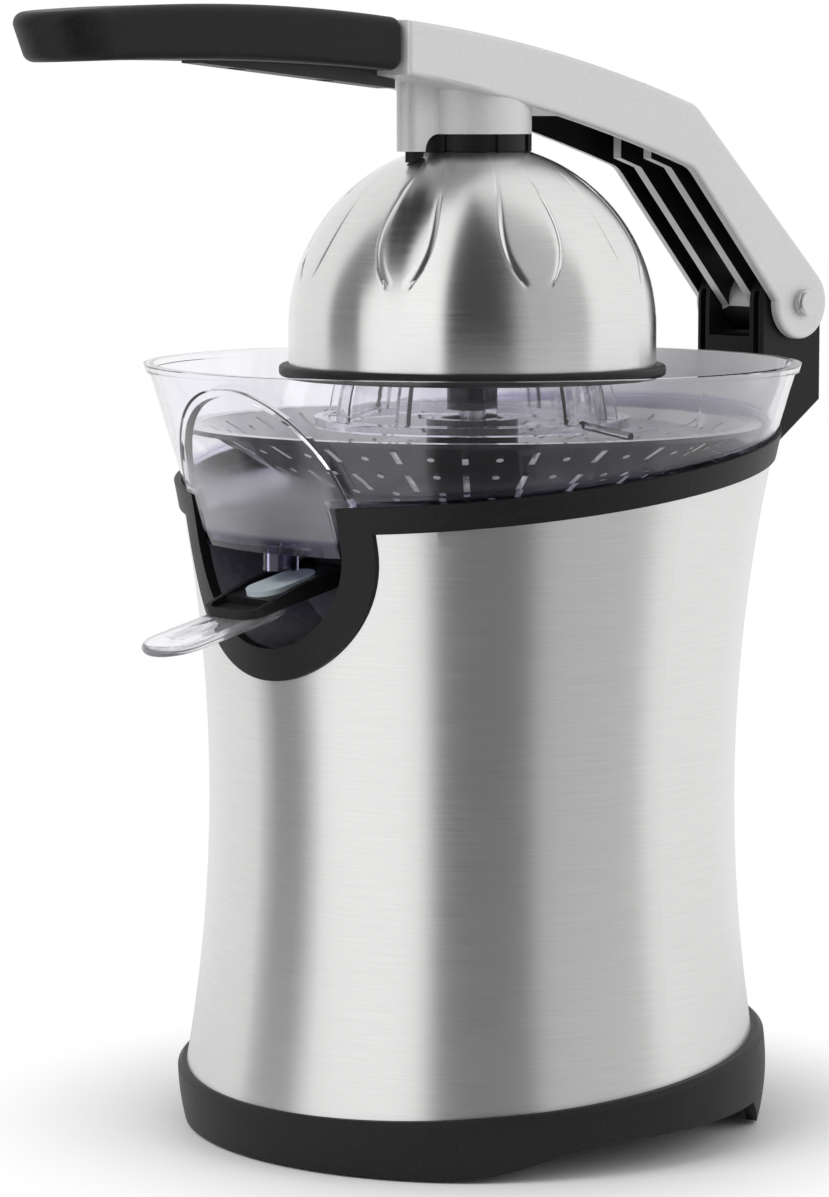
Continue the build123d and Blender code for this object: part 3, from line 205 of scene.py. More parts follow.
def soft_box(name, azimuth, distance, height, size, power):
    """Square area lamp that looks at the middle of the press."""
    lamp = bpy.data.lights.new(name, "AREA")
    lamp.size = size
    lamp.energy = power
    lamp_object = add_object(name, lamp)
    turn = camera_azimuth + math.radians(azimuth)
    lamp_object.location = (distance * math.sin(turn), -distance * math.cos(turn), height)
    aim = lamp_target - lamp_object.location
    lamp_object.rotation_mode = "QUATERNION"
    lamp_object.rotation_quaternion = aim.to_track_quat("-Z", "Y")
    lamp_object.visible_glossy = False
    return lamp_object


soft_box("left_box", azimuth=-55, distance=1.5, height=1.3, size=1.2, power=16.0)
soft_box("right_box", azimuth=65, distance=1.6, height=1.0, size=1.2, power=8.0)
print("soft boxes 2")

# %% [markdown]
# The floor is a round table of pale paper, no wider than the shadow needs, so that the steel
# mirrors the screens around it and not the paper. Near the press it is a dull surface that takes
# the shadow, and towards its edge it goes over to plain white, so that no edge shows.

# %% Floor
floor_reach = 0.30
floor_corners = 96
shadow_reach, paper_reach = 0.085, 0.165
floor_turns = [2 * math.pi * i / floor_corners for i in range(floor_corners)]
floor_rim = [(floor_reach * math.cos(t), floor_reach * math.sin(t), 0) for t in floor_turns]
floor_mesh = bpy.data.meshes.new("floor")
floor_mesh.from_pydata(floor_rim, [], [tuple(range(floor_corners))])
floor = add_object("floor", floor_mesh)
paper = bpy.data.materials.new("floor_paper")
paper.use_nodes = True
tree = paper.node_tree
dull = tree.nodes["Principled BSDF"]
dull.inputs["Base Color"].default_value = (0.95, 0.95, 0.95, 1)
dull.inputs["Roughness"].default_value = 0.6
dull.inputs["Specular IOR Level"].default_value = 0.2
spot = put(tree, "ShaderNodeTexCoord")
far = put(tree, "ShaderNodeVectorMath", operation="LENGTH")
join(tree, spot.outputs["Object"], far.inputs[0])
fade = put(tree, "ShaderNodeMapRange", interpolation_type="SMOOTHSTEP")
fade.inputs["From Min"].default_value = shadow_reach
fade.inputs["From Max"].default_value = paper_reach
join(tree, far.outputs["Value"], fade.inputs["Value"])
white = put(tree, "ShaderNodeEmission")
white.inputs["Color"].default_value = white_sky
view_rays = put(tree, "ShaderNodeLightPath")
looking = reckon(tree, "MAXIMUM", view_rays.outputs["Is Camera Ray"],
                 view_rays.outputs["Is Transmission Ray"])
fade_seen = reckon(tree, "MULTIPLY", fade.outputs["Result"], looking)
paper_mix = mix_shaders(tree, fade_seen, dull.outputs[0], white.outputs[0])
join(tree, paper_mix, tree.nodes["Material Output"].inputs["Surface"])
floor_mesh.materials.append(paper)
print("floor", floor_reach * 2, "m wide")

# %% [markdown]
# Every finish starts from fine grain: a noise pattern in the object's own metres. The same grain
# moves the colour a little, the roughness a little and the surface a few microns, as real
# moulding and brushing do.

# %% Finish helpers
grain_low, grain_high = 0.3, 0.7


def start_finish(name):
    """New material, with its node tree and its shader."""
    material = bpy.data.materials.new(name)
    material.use_nodes = True
    return material, material.node_tree, material.node_tree.nodes["Principled BSDF"]


def tune(material, socket_name, value):
    """Set one plain value on a finish's shader."""
    material.node_tree.nodes["Principled BSDF"].inputs[socket_name].default_value = value


def grain(tree, scale, stretch=(1, 1, 1), detail=4.0):
    """Noise in object metres, stretched along some axes."""
    place = put(tree, "ShaderNodeTexCoord")
    mapping = put(tree, "ShaderNodeMapping")
    mapping.inputs["Scale"].default_value = stretch
    noise = put(tree, "ShaderNodeTexNoise")
    noise.inputs["Scale"].default_value = scale
    noise.inputs["Detail"].default_value = detail
    join(tree, place.outputs["Object"], mapping.inputs["Vector"])
    join(tree, mapping.outputs["Vector"], noise.inputs["Vector"])
    return noise.outputs["Fac"]


def span(tree, source, low, high, target):
    """Spread a grain between two values on a shader socket."""
    reach = put(tree, "ShaderNodeMapRange")
    reach.inputs["From Min"].default_value = grain_low
    reach.inputs["From Max"].default_value = grain_high
    reach.inputs["To Min"].default_value = low
    reach.inputs["To Max"].default_value = high
    join(tree, source, reach.inputs["Value"])
    join(tree, reach.outputs["Result"], target)


def tint(tree, source, dark, light, target):
    """Spread a grain between two colours on a shader socket."""
    ramp = put(tree, "ShaderNodeValToRGB")
    ends = ramp.color_ramp.elements
    for end, position, colour in zip(ends, (grain_low, grain_high), (dark, light)):
        end.position = position
        end.color = (*colour, 1)
    join(tree, source, ramp.inputs["Fac"])
    join(tree, ramp.outputs["Color"], target)


def relief(tree, source, height, shader, strength=1.0):
    """Raise a surface by a grain."""
    bump = put(tree, "ShaderNodeBump")
    bump.inputs["Strength"].default_value = strength
    bump.inputs["Distance"].default_value = height
    join(tree, source, bump.inputs["Height"])
    join(tree, bump.outputs["Normal"], shader.inputs["Normal"])


print("finish helpers ready")

# %% [markdown]
# Brushed steel is drawn round the body by an abrasive belt, so its scratches run level and its
# highlights smear upright. The grain is squeezed in height, and the gloss is stretched across it.

# %% Brushed steel
brush_scale, brush_squeeze, brush_detail = 60.0, 60, 5.0
rough_swing = 0.025


def brushed_steel(name, dark, light, rough, scratch):
    """Metal with level scratches round the upright axis."""
    material, tree, shader = start_finish(name)
    shader.inputs["Metallic"].default_value = 1.0
    shader.inputs["Anisotropic"].default_value = 0.8
    shader.inputs["Anisotropic Rotation"].default_value = 0.25
    fine = grain(tree, brush_scale, (1, 1, brush_squeeze), brush_detail)
    tint(tree, fine, dark, light, shader.inputs["Base Color"])
    span(tree, fine, rough - rough_swing, rough + rough_swing, shader.inputs["Roughness"])
    relief(tree, fine, scratch, shader, 0.25)
    flow = put(tree, "ShaderNodeTangent", direction_type="RADIAL", axis="Z")
    join(tree, flow.outputs["Tangent"], shader.inputs["Tangent"])
    return material


steel = brushed_steel("brushed_steel", (0.69, 0.685, 0.68), (0.76, 0.755, 0.75), 0.32, 0.006 * mm)
polished = brushed_steel("brushed_dome", (0.715, 0.71, 0.705), (0.77, 0.765, 0.76), 0.24, 0.004 * mm)
print("steel ready")

# %% [markdown]
# The mouldings are satin black with a fine spark-eroded grain. The softer grips and feet are a
# touch greyer and rougher, and hidden mouldings are plain.

# %% Moulded finishes


def moulded(name, dark, light, rough_low, rough_high, scale=900.0, height=0.03 * mm):
    """Plastic, rubber or cast metal with a fine grain."""
    material, tree, shader = start_finish(name)
    skin = grain(tree, scale)
    tint(tree, skin, dark, light, shader.inputs["Base Color"])
    span(tree, skin, rough_low, rough_high, shader.inputs["Roughness"])
    relief(tree, skin, height, shader, 0.4)
    return material


black = moulded("black_plastic", (0.008, 0.008, 0.0085), (0.014, 0.014, 0.0145), 0.40, 0.52)
tune(black, "Specular IOR Level", 0.22)
# Painted light: the spout niche is a paler slate grey than its black plastic, to lift it out of its
# shade.
painted_light_niche = moulded("niche_painted_light", (0.11, 0.108, 0.127), (0.15, 0.147, 0.17), 0.14, 0.22, 400.0, 0.01 * mm)
grey = moulded("grey_plastic", (0.022, 0.022, 0.024), (0.036, 0.036, 0.038), 0.42, 0.55)
pale = moulded("white_plastic", (0.70, 0.70, 0.67), (0.80, 0.80, 0.77), 0.35, 0.5)
rubber = moulded("rubber", (0.018, 0.018, 0.018), (0.035, 0.035, 0.035), 0.6, 0.8, 1400.0)
silicone = moulded("silicone", (0.48, 0.57, 0.605), (0.56, 0.64, 0.67), 0.35, 0.5, 500.0)
silver = moulded("cast_silver", (0.72, 0.72, 0.725), (0.81, 0.81, 0.815), 0.42, 0.54, 2200.0, 0.02 * mm)
tune(silver, "Metallic", 0.3)
zinc = moulded("zinc_steel", (0.55, 0.55, 0.56), (0.68, 0.68, 0.69), 0.2, 0.34, 1500.0)
tune(zinc, "Metallic", 1.0)
iron = moulded("motor_steel", (0.10, 0.10, 0.105), (0.20, 0.20, 0.21), 0.4, 0.6, 700.0)
tune(iron, "Metallic", 0.9)
copper = moulded("copper", (0.42, 0.16, 0.07), (0.62, 0.28, 0.14), 0.3, 0.45, 1200.0)
tune(copper, "Metallic", 0.9)
bronze = moulded("bronze", (0.38, 0.27, 0.12), (0.52, 0.40, 0.20), 0.35, 0.5, 1200.0)
tune(bronze, "Metallic", 0.9)


def striped(material, axis, period, height):
    """Fine level ridges along one axis, such as stamped sheets in a stack or turns of wire.

    A wave texture has its ridges pi / 10 / scale apart.
    """
    tree = material.node_tree
    shader = tree.nodes["Principled BSDF"]
    place = put(tree, "ShaderNodeTexCoord")
    ridges = put(tree, "ShaderNodeTexWave", wave_type="BANDS", bands_direction=axis)
    ridges.inputs["Scale"].default_value = math.pi / 10 / period
    ridges.inputs["Distortion"].default_value = 0.6
    join(tree, place.outputs["Object"], ridges.inputs["Vector"])
    relief(tree, ridges.outputs["Fac"], height, shader, 0.6)


striped(iron, "Z", period=0.7 * mm, height=0.08 * mm)
striped(copper, "Z", period=0.6 * mm, height=0.1 * mm)
print("moulded finishes ready")

# %% [markdown]
# The bowl is clear styrene with a faint violet cast that deepens where the wall is thick. Real
# mouldings are never perfectly smooth, so a slow ripple bends what is seen through them.

# %% Clear plastic
clear_tints = (0.90, 0.89, 0.935), (0.96, 0.955, 0.975)
ripple_scale, ripple_detail, ripple_height = 55.0, 2.0, 0.08 * mm


def clear_plastic(name, dark, light):
    """Clear plastic with a faint cast and a slow ripple."""
    material, tree, shader = start_finish(name)
    shader.inputs["Transmission Weight"].default_value = 1.0
    shader.inputs["IOR"].default_value = 1.45
    flow = grain(tree, ripple_scale, detail=ripple_detail)
    tint(tree, flow, dark, light, shader.inputs["Base Color"])
    span(tree, flow, 0.0, 0.05, shader.inputs["Roughness"])
    relief(tree, flow, ripple_height, shader, 0.35)
    return material


clear = clear_plastic("clear_plastic", *clear_tints)
smoky = clear_plastic("smoky_plastic", (0.034, 0.033, 0.041), (0.056, 0.055, 0.065))
tune(smoky, "Specular IOR Level", 0.08)
basket_inside = clear_plastic("strainer_inside", (0.86, 0.855, 0.89), (0.93, 0.925, 0.95))
tune(basket_inside, "Transmission Weight", 0.5)
# Painted highlight: the walls of the strainer's slots are pale and milky, for the light their edges
# catch.
slot_highlight = clear_plastic("slot_painted_highlight", (0.93, 0.93, 0.95), (0.99, 0.99, 1.0))
tune(slot_highlight, "Transmission Weight", 0.35)
tongue_clear = clear_plastic("tongue_plastic", *clear_tints)
tune(tongue_clear, "IOR", 1.25)
tune(tongue_clear, "Transmission Weight", 0.9)
cone_clear = clear_plastic("cone_plastic", *clear_tints)
bowl_clear = clear_plastic("bowl_plastic", *clear_tints)
tune(bowl_clear, "Specular IOR Level", 0.35)
print("clear plastic ready")

# %% [markdown]
# Not all of it is clear. Near the shaft the cone and the bowl are painted dark, painted shade for
# the dark middle of the press.
# The inside of the spout chamber is frosted, because its mould is left unpolished where the juice
# runs, and its floor and the bowl's foot are thick and more violet. The bowl turns milky towards the
# hinge. All are masks over the clear finish, measured in the object's own metres.

# %% Painted shade round the shaft, frosted chamber and milky back
# Painted shade: colour and soft edge of the dark ring round the shaft.
hub_shade_colour, hub_shade_edge = (0.03, 0.03, 0.034), 0.3 * mm
foot_colour, foot_edge = (0.64, 0.63, 0.77), 1.5 * mm
frost_colour, frost_haze, frost_veil = (0.93, 0.92, 0.97), 0.22, 0.1
frost_top_edge, frost_back_edge, frost_side_edge = 10 * mm, 6 * mm, 2 * mm
floor_colour, floor_edge = (0.56, 0.54, 0.76), 2.5 * mm


def fade_between(tree, source, none, full):
    """A soft mask: 0 where the source is at none, 1 where it is at full."""
    fade = put(tree, "ShaderNodeMapRange", interpolation_type="SMOOTHSTEP")
    fade.inputs["From Min"].default_value = min(none, full)
    fade.inputs["From Max"].default_value = max(none, full)
    fade.inputs["To Min"].default_value = 0.0 if none < full else 1.0
    fade.inputs["To Max"].default_value = 1.0 if none < full else 0.0
    join(tree, source, fade.inputs["Value"])
    return fade.outputs["Result"]


def lay_over(tree, mask, colour, target):
    """Lay a colour over what already drives a socket, where the mask is 1."""
    under = target.links[0].from_socket
    blend = put(tree, "ShaderNodeMix", data_type="RGBA")
    blend.inputs[7].default_value = (*colour, 1)
    join(tree, mask, blend.inputs[0])
    join(tree, under, blend.inputs[6])
    join(tree, blend.outputs[2], target)


def own_axes(tree):
    """X, Y and Z of a point, in the object's own metres."""
    place = put(tree, "ShaderNodeTexCoord")
    axes = put(tree, "ShaderNodeSeparateXYZ")
    join(tree, place.outputs["Object"], axes.inputs[0])
    return axes.outputs


def paint_hub_shade(material, radius):
    """Paint shade on a clear piece: dark close to the upright axis."""
    tree = material.node_tree
    place = put(tree, "ShaderNodeTexCoord")
    level = put(tree, "ShaderNodeVectorMath", operation="MULTIPLY")
    level.inputs[1].default_value = (1, 1, 0)
    reach = put(tree, "ShaderNodeVectorMath", operation="LENGTH")
    join(tree, place.outputs["Object"], level.inputs[0])
    join(tree, level.outputs["Vector"], reach.inputs[0])
    mask = fade_between(tree, reach.outputs["Value"], radius + hub_shade_edge, radius)
    lay_over(tree, mask, hub_shade_colour, tree.nodes["Principled BSDF"].inputs["Base Color"])


def violet_foot(material, foot_z, slope):
    """Deepen the cast below a slanted plane, where the wall of the bowl is thick."""
    tree = material.node_tree
    place = put(tree, "ShaderNodeTexCoord")
    height = put(tree, "ShaderNodeVectorMath", operation="DOT_PRODUCT")
    height.inputs[1].default_value = (0, -slope, 1)
    join(tree, place.outputs["Object"], height.inputs[0])
    mask = fade_between(tree, height.outputs["Value"], foot_z + foot_edge, foot_z)
    lay_over(tree, mask, foot_colour, tree.nodes["Principled BSDF"].inputs["Base Color"])


def frosted_chamber(material, top_z, floor_z, back_y, half_width):
    """Frost a clear piece between two heights, in front of a plane and near the middle.

    Below the lower height it is violet.
    """
    tree = material.node_tree
    shader = tree.nodes["Principled BSDF"]
    axes = own_axes(tree)
    low = fade_between(tree, axes["Z"], top_z, top_z - frost_top_edge)
    front = fade_between(tree, axes["Y"], back_y, back_y - frost_back_edge)
    aside = reckon(tree, "ABSOLUTE", axes["X"])
    middle = fade_between(tree, aside, half_width, half_width - frost_side_edge)
    above_floor = fade_between(tree, axes["Z"], floor_z, floor_z + floor_edge)
    low_front = reckon(tree, "MULTIPLY", low, front)
    mid_height = reckon(tree, "MULTIPLY", middle, above_floor)
    mask = reckon(tree, "MULTIPLY", low_front, mid_height)
    lay_over(tree, mask, frost_colour, shader.inputs["Base Color"])
    under_floor = fade_between(tree, axes["Z"], floor_z + floor_edge, floor_z)
    lay_over(tree, under_floor, floor_colour, shader.inputs["Base Color"])
    milk = reckon(tree, "MULTIPLY_ADD", mask, -frost_veil, 1.0)
    join(tree, milk, shader.inputs["Transmission Weight"])
    rough = shader.inputs["Roughness"]
    frost = reckon(tree, "MULTIPLY_ADD", mask, frost_haze, rough.links[0].from_socket)
    join(tree, frost, rough)


def milky_back(material, start_y, full_y, veil):
    """Cloud a clear piece towards its back, over what already drives its clearness."""
    tree = material.node_tree
    clearness = tree.nodes["Principled BSDF"].inputs["Transmission Weight"]
    mask = fade_between(tree, own_axes(tree)["Y"], start_y, full_y)
    kept = reckon(tree, "MULTIPLY_ADD", mask, -veil, 1.0)
    clouded = reckon(tree, "MULTIPLY", kept, clearness.links[0].from_socket)
    join(tree, clouded, clearness)


# Painted shade near the shaft of the cone and the bowl.
paint_hub_shade(cone_clear, radius=7.7 * mm)
paint_hub_shade(bowl_clear, radius=12.1 * mm)
violet_foot(bowl_clear, foot_z=205 * mm, slope=0.116)
frosted_chamber(bowl_clear, top_z=206 * mm, floor_z=181.5 * mm, back_y=-36 * mm, half_width=32 * mm)
milky_back(bowl_clear, start_y=66 * mm, full_y=90 * mm, veil=0.8)
print("hubs, chamber and back wall ready")

# %% [markdown]
# Each solid gets the finish of its slot, and four of them a finish of their own.

# %% Dress the solids
finish_of_slot = {"black_plastic": black, "brushed_steel": steel, "clear_plastic": clear,
                  "cast_silver": silver, "grey_plastic": grey, "white_plastic": pale,
                  "rubber": rubber, "silicone": silicone, "zinc_steel": zinc,
                  "motor_steel": iron, "copper": copper, "bronze": bronze}


def dress(thing, *materials):
    """Give an object these finishes and no others."""
    thing.data.materials.clear()
    for material in materials:
        thing.data.materials.append(material)


for name, thing in nodes.items():
    dress(thing, finish_of_slot[slot_of_node[name]])
dress(nodes["spout_niche"], painted_light_niche)
dress(nodes["strainer"], smoky)
dress(nodes["reamer_cone"], cone_clear)
dress(nodes["juice_bowl"], bowl_clear)
print("dressed", len(nodes))

# %% [markdown]
# The dome is spun from sheet and then struck with eight leaves. Each leaf has two creased lines that
# start faint near the crown, bow outwards and curl together near the foot. The crease is sharp on its
# outer side and fades inwards like a scoop. Elevations and half widths are in degrees, seen from the
# middle of the ball, and the places across a crease are in millimetres.

# %% Outline of a leaf
dome_low, dome_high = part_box("press_dome")
dome_radius = dome_high[0]
dome_foot = dome_low[2]
dome_middle = dome_high[2] - dome_radius
dome_wall = 0.8 * mm
dome_hole = min(math.hypot(v.co.x, v.co.y) for v in nodes["press_dome"].data.vertices)
leaf_count = 8
leaf_foot, leaf_crown = 13.2, 63.0
leaf_half_widths = [(0, 2.6), (8, 2.8), (13.2, 4.2), (20, 8.4), (26, 10.6), (33, 11.6), (41, 11.4),
                    (51, 10.3), (63, 8.6), (76, 7.6), (90, 7.4)]
crease_depth = 0.5 * mm
crease_shares = [(2.2, 0.0), (1.4, 0.2), (0.8, 0.6), (0.42, 1.0), (0.15, 0.5), (0.0, 0.0)]
crease_start, crease_fade = 3.5, 38
curl_low, curl_high, curl_spread = 16, 27, 0.8
least_level = 0.2
leaf_core = 0.3
inside_shares = (0, 0.3, 0.6, 0.85)
outside_mm = (0.12, 0.4, 1.1)
gap_shares = (0.45, 0.7, 1.0)
band_shares = (0, 0.03, 0.3, 0.65)


def ease(value, start, end):
    """Smooth step from 0 at start to 1 at end."""
    share = min(1.0, max(0.0, (value - start) / (end - start)))
    return share * share * (3 - 2 * share)


def along(points, value):
    """Height of a smooth curve through points, with the slope at each taken from its neighbours."""
    last = len(points) - 1
    slopes = []
    for i in range(last + 1):
        before, after = points[max(0, i - 1)], points[min(last, i + 1)]
        slopes.append((after[1] - before[1]) / (after[0] - before[0]))
    for i in range(last):
        (a, low), (b, high) = points[i], points[i + 1]
        if value <= b or i == last - 1:
            run = b - a
            t = (value - a) / run
            return ((2 * t**3 - 3 * t**2 + 1) * low + (t**3 - 2 * t**2 + t) * run * slopes[i]
                    + (3 * t**2 - 2 * t**3) * high + (t**3 - t**2) * run * slopes[i + 1])


def leaf_columns(rise):
    """Azimuths across half a leaf at one elevation, each with its share of the crease's depth."""
    half = along(leaf_half_widths, rise)
    spread = 1 + curl_spread * (1 - ease(rise, curl_low, curl_high))
    per_mm = math.degrees(mm / (dome_radius * max(least_level, math.cos(math.radians(rise)))))
    crease = [(max(half * leaf_core, half - inward * spread * per_mm), share)
              for inward, share in crease_shares]
    inside = [(crease[0][0] * share, 0.0) for share in inside_shares]
    edge = 180 / leaf_count
    outside = [(half + outward * per_mm, 0.0) for outward in outside_mm]
    outside += [(half + (edge - half) * share, 0.0) for share in gap_shares]
    columns = inside + crease + outside
    return [(-angle, share) for angle, share in reversed(columns[1:])] + columns


print("leaf columns", len(leaf_columns(leaf_foot)))

# %% [markdown]
# One eighth of the dome is drawn, inside and outside, with its columns of points laid along the
# creases, so that few points give a crisp line.

# %% One leaf of the dome


def dome_row(rise, z, radius, depth):
    """Points across one leaf at one elevation, sunk by the crease."""
    tilt = math.radians(max(0, rise))
    level = radius * math.cos(tilt)
    row = []
    for angle, share in leaf_columns(max(0, rise)):
        turn = math.radians(angle + 180 / leaf_count)
        sink = depth * share
        out = level - sink * math.cos(tilt)
        row.append((out * math.cos(turn), out * math.sin(turn), z - sink * math.sin(tilt)))
    return row


def dome_rows(radius, rises, deep):
    """Rows up the band and the ball, ending at the bolt hole."""
    band = dome_middle - dome_foot
    rows = [dome_row(0, dome_foot + share * band, radius, 0) for share in band_shares]
    top = math.degrees(math.acos(dome_hole / radius))
    for rise in rises + [top]:
        depth = deep * ease(rise, leaf_foot, leaf_foot + crease_start)
        depth *= 1 - ease(rise, crease_fade, leaf_crown)
        rows.append(dome_row(rise, dome_middle + radius * math.sin(math.radians(rise)), radius, depth))
    return rows


outer_rises = [0, 3, 6, 9, 11.5] + [12 + 0.5 * i for i in range(105)] + [67, 71, 75, 79, 82.5]
inner_rises = [0, 15, 30, 45, 60, 72, 80]
outer_rows = dome_rows(dome_radius, outer_rises, crease_depth)
inner_rows = dome_rows(dome_radius - dome_wall, inner_rises, 0)


def sheet_of(rows, first, flip):
    """Quads between neighbouring rows of points."""
    width = len(rows[0])
    quads = []
    for r in range(len(rows) - 1):
        for c in range(width - 1):
            a = first + r * width + c
            quad = (a, a + 1, a + width + 1, a + width)
            quads.append(quad[::-1] if flip else quad)
    return quads


width = len(outer_rows[0])
inner_first = len(outer_rows) * width
leaf_points = [point for row in outer_rows + inner_rows for point in row]
leaf_faces = sheet_of(outer_rows, 0, False) + sheet_of(inner_rows, inner_first, True)
outer_top = (len(outer_rows) - 1) * width
inner_top = inner_first + (len(inner_rows) - 1) * width
for c in range(width - 1):
    leaf_faces.append((inner_first + c, inner_first + c + 1, c + 1, c))
    leaf_faces.append((outer_top + c, outer_top + c + 1, inner_top + c + 1, inner_top + c))
leaf_mesh = bpy.data.meshes.new("dome_leaf")
leaf_mesh.from_pydata(leaf_points, [], leaf_faces)
print("leaf points", len(leaf_points), "rows", len(outer_rows), "columns", width)

# %% [markdown]
# The press tool turns the sheet by an eighth between strokes. Geometry Nodes does the same: it
# repeats the leaf around the axis, joins the seams and lays on the finish.

# %% Turned copies with Geometry Nodes


def start_group(name, **inputs):
    """Node group with named inputs and one geometry output. Gives the inputs too."""
    group = bpy.data.node_groups.new(name, "GeometryNodeTree")
    for title, kind in inputs.items():
        group.interface.new_socket(title, in_out="INPUT", socket_type="NodeSocket" + kind)
    group.interface.new_socket("Whole", in_out="OUTPUT", socket_type="NodeSocketGeometry")
    return group, put(group, "NodeGroupInput").outputs


def set_turned(group, places, piece, angle):
    """Copies of a piece on points, each turned about Z, as real faces."""
    about_z = put(group, "ShaderNodeCombineXYZ")
    join(group, angle, about_z.inputs["Z"])
    as_turn = put(group, "FunctionNodeEulerToRotation")
    join(group, about_z.outputs[0], as_turn.inputs[0])
    copies = put(group, "GeometryNodeInstanceOnPoints")
    join(group, places, copies.inputs["Points"])
    join(group, piece, copies.inputs["Instance"])
    join(group, as_turn.outputs[0], copies.inputs["Rotation"])
    real = put(group, "GeometryNodeRealizeInstances")
    join(group, copies.outputs[0], real.inputs[0])
    return real.outputs[0]


def end_group(group, geometry, finish):
    """Lay a finish on the geometry and hand it out."""
    finished = put(group, "GeometryNodeSetMaterial")
    join(group, geometry, finished.inputs["Geometry"])
    join(group, finish, finished.inputs["Material"])
    result = put(group, "NodeGroupOutput")
    join(group, finished.outputs[0], result.inputs["Whole"])


def turned_copies():
    """Node group: one piece repeated round the Z axis and sewn together."""
    group, given = start_group("turned_copies", Piece="Geometry", Count="Int", Seam="Float",
                               Finish="Material")
    places = put(group, "GeometryNodePoints")
    join(group, given["Count"], places.inputs["Count"])
    number = put(group, "GeometryNodeInputIndex")
    step = reckon(group, "DIVIDE", 2 * math.pi, given["Count"])
    turn = reckon(group, "MULTIPLY", number.outputs[0], step)
    copies = set_turned(group, places.outputs[0], given["Piece"], turn)
    sewn = put(group, "GeometryNodeMergeByDistance")
    join(group, copies, sewn.inputs["Geometry"])
    join(group, given["Seam"], sewn.inputs["Distance"])
    end_group(group, sewn.outputs[0], given["Finish"])
    return group


copies_round = turned_copies()
print("node group", copies_round.name, "nodes", len(copies_round.nodes))

# %% [markdown]
# Every remade piece ends as a plain mesh at the origin. It names the body that carries it and the
# solids that it stands for.

# %% Piece helpers


def settled_mesh(thing):
    """New mesh of an object with its modifiers worked in."""
    graph = bpy.context.evaluated_depsgraph_get()
    graph.update()
    return bpy.data.meshes.new_from_object(thing.evaluated_get(graph), depsgraph=graph)


def grow(name, mesh, group, body, slot, replaced, **values):
    """Run a node group on a mesh and keep the outcome as a plain piece of a body."""
    holder = add_object(name, mesh)
    modifier = holder.modifiers.new("grow", "NODES")
    modifier.node_group = group
    for item in group.interface.items_tree:
        if item.in_out == "INPUT" and item.name in values:
            modifier[item.identifier] = values[item.name]
    plain_mesh = settled_mesh(holder)
    holder.modifiers.remove(modifier)
    holder.data = plain_mesh
    plain_mesh.name = name
    place_piece(holder, body, replaced)
    return holder


def place_piece(thing, body, replaced):
    """Hang a piece on the empty of its body and hide the solids that it stands for."""
    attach(thing, body)
    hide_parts(*replaced)


def shade_smooth(thing, angle=32.0):
    """Smooth faces, with a hard edge wherever two faces meet at more than the angle."""
    mesh = thing.data
    mesh.polygons.foreach_set("use_smooth", [True] * len(mesh.polygons))
    work = bmesh.new()
    work.from_mesh(mesh)
    limit = math.radians(angle)
    for edge in work.edges:
        edge.smooth = len(edge.link_faces) == 2 and edge.calc_face_angle(0) < limit
    work.to_mesh(mesh)
    work.free()


def mend(mesh, weld=0.0, outward=True):
    """Join points that lie closer than weld, and turn the faces outwards."""
    work = bmesh.new()
    work.from_mesh(mesh)
    if weld:
        bmesh.ops.remove_doubles(work, verts=work.verts, dist=weld)
    if outward:
        bmesh.ops.recalc_face_normals(work, faces=work.faces)
    work.to_mesh(mesh)
    work.free()


print("piece helpers ready")

# %% [markdown]
# Eight turned leaves, sewn along their edges, make the dome.

# %% Engraved dome
dome_seam = 0.01 * mm
dome = grow("engraved_dome", leaf_mesh, copies_round, "arm", "brushed_steel", ["press_dome"],
            Count=leaf_count, Seam=dome_seam, Finish=polished)
shade_smooth(dome, angle=50.0)
print("dome faces", len(dome.data.polygons))

# %% [markdown]
# The lever arm is one casting. Its outside is silver and the faces inside its open underside are
# black, but the lower edges of the two ribs and the cheeks stay silver. A copy of the solid's mesh
# takes the two finishes face by face.

# %% Two-tone lever arm
arm_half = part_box("lever_arm")[1][0]
cheek_wall = 3.0 * mm
cheek_inside = arm_half - cheek_wall
cheek_slack = 0.1 * mm
rib_inner, rib_outer = 4.7 * mm, 8.3 * mm
rib_gap = 3.0 * mm
hollow_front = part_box("dome_collar")[1][1] + 2.0 * mm
upright, sideways, downward = 0.9, 0.5, -0.15
arm = add_object("two_tone_arm", nodes["lever_arm"].data.copy())
dress(arm, silver, black)
shaded = 0
for face in arm.data.polygons:
    x, y = face.center[0], face.center[1]
    nx, ny, nz = face.normal
    in_hollow = abs(x) < cheek_inside + cheek_slack / 2 and y > hollow_front
    cheek = abs(x) > cheek_inside - cheek_slack and nx * x < 0
    rib_wall = abs(nx) > upright and abs(x) < cheek_inside - rib_gap
    rib_edge = rib_inner < abs(x) < rib_outer and abs(nx) < sideways
    roof = nz < downward and not rib_edge
    front_wall = ny > upright and not rib_edge
    in_black = in_hollow and (cheek or rib_wall or roof or front_wall)
    face.material_index = 1 if in_black else 0
    shaded += in_black
place_piece(arm, "arm", ["lever_arm"])
print("arm faces", len(arm.data.polygons), "black", shaded)

# %% [markdown]
# The strainer is moulded smoky. Its inside is scuffed by pulp and looks paler. The walls of its slots
# and holes are given a pale milky finish, a painted highlight for the light their edges catch. They
# are the only upright faces between its neck and its rim, so they are found by their normals on a copy.

# %% Painted highlight on the strainer's slots
strainer_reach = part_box("strainer")[1][0] - 0.5 * mm
neck_reach = 15 * mm
slot_tilt, floor_tilt = 0.05, 0.3
basket = add_object("slotted_strainer", nodes["strainer"].data.copy())
dress(basket, smoky, basket_inside, slot_highlight)
bright = 0
for face in basket.data.polygons:
    out = math.hypot(face.center[0], face.center[1])
    in_slot = abs(face.normal[2]) < slot_tilt and neck_reach < out < strainer_reach
    faces_up = face.normal[2] > floor_tilt
    face.material_index = 2 if in_slot else 1 if faces_up else 0
    bright += in_slot
place_piece(basket, "root", ["strainer"])
print("strainer faces", len(basket.data.polygons), "bright", bright)

# %% [markdown]
# The thumb tongue is a thick clear spoon under the front of the drip tray. It is drawn as nested
# outlines, set in by millimetres from a rounded rim to its middle line, with an oval hollow for the
# thumb.

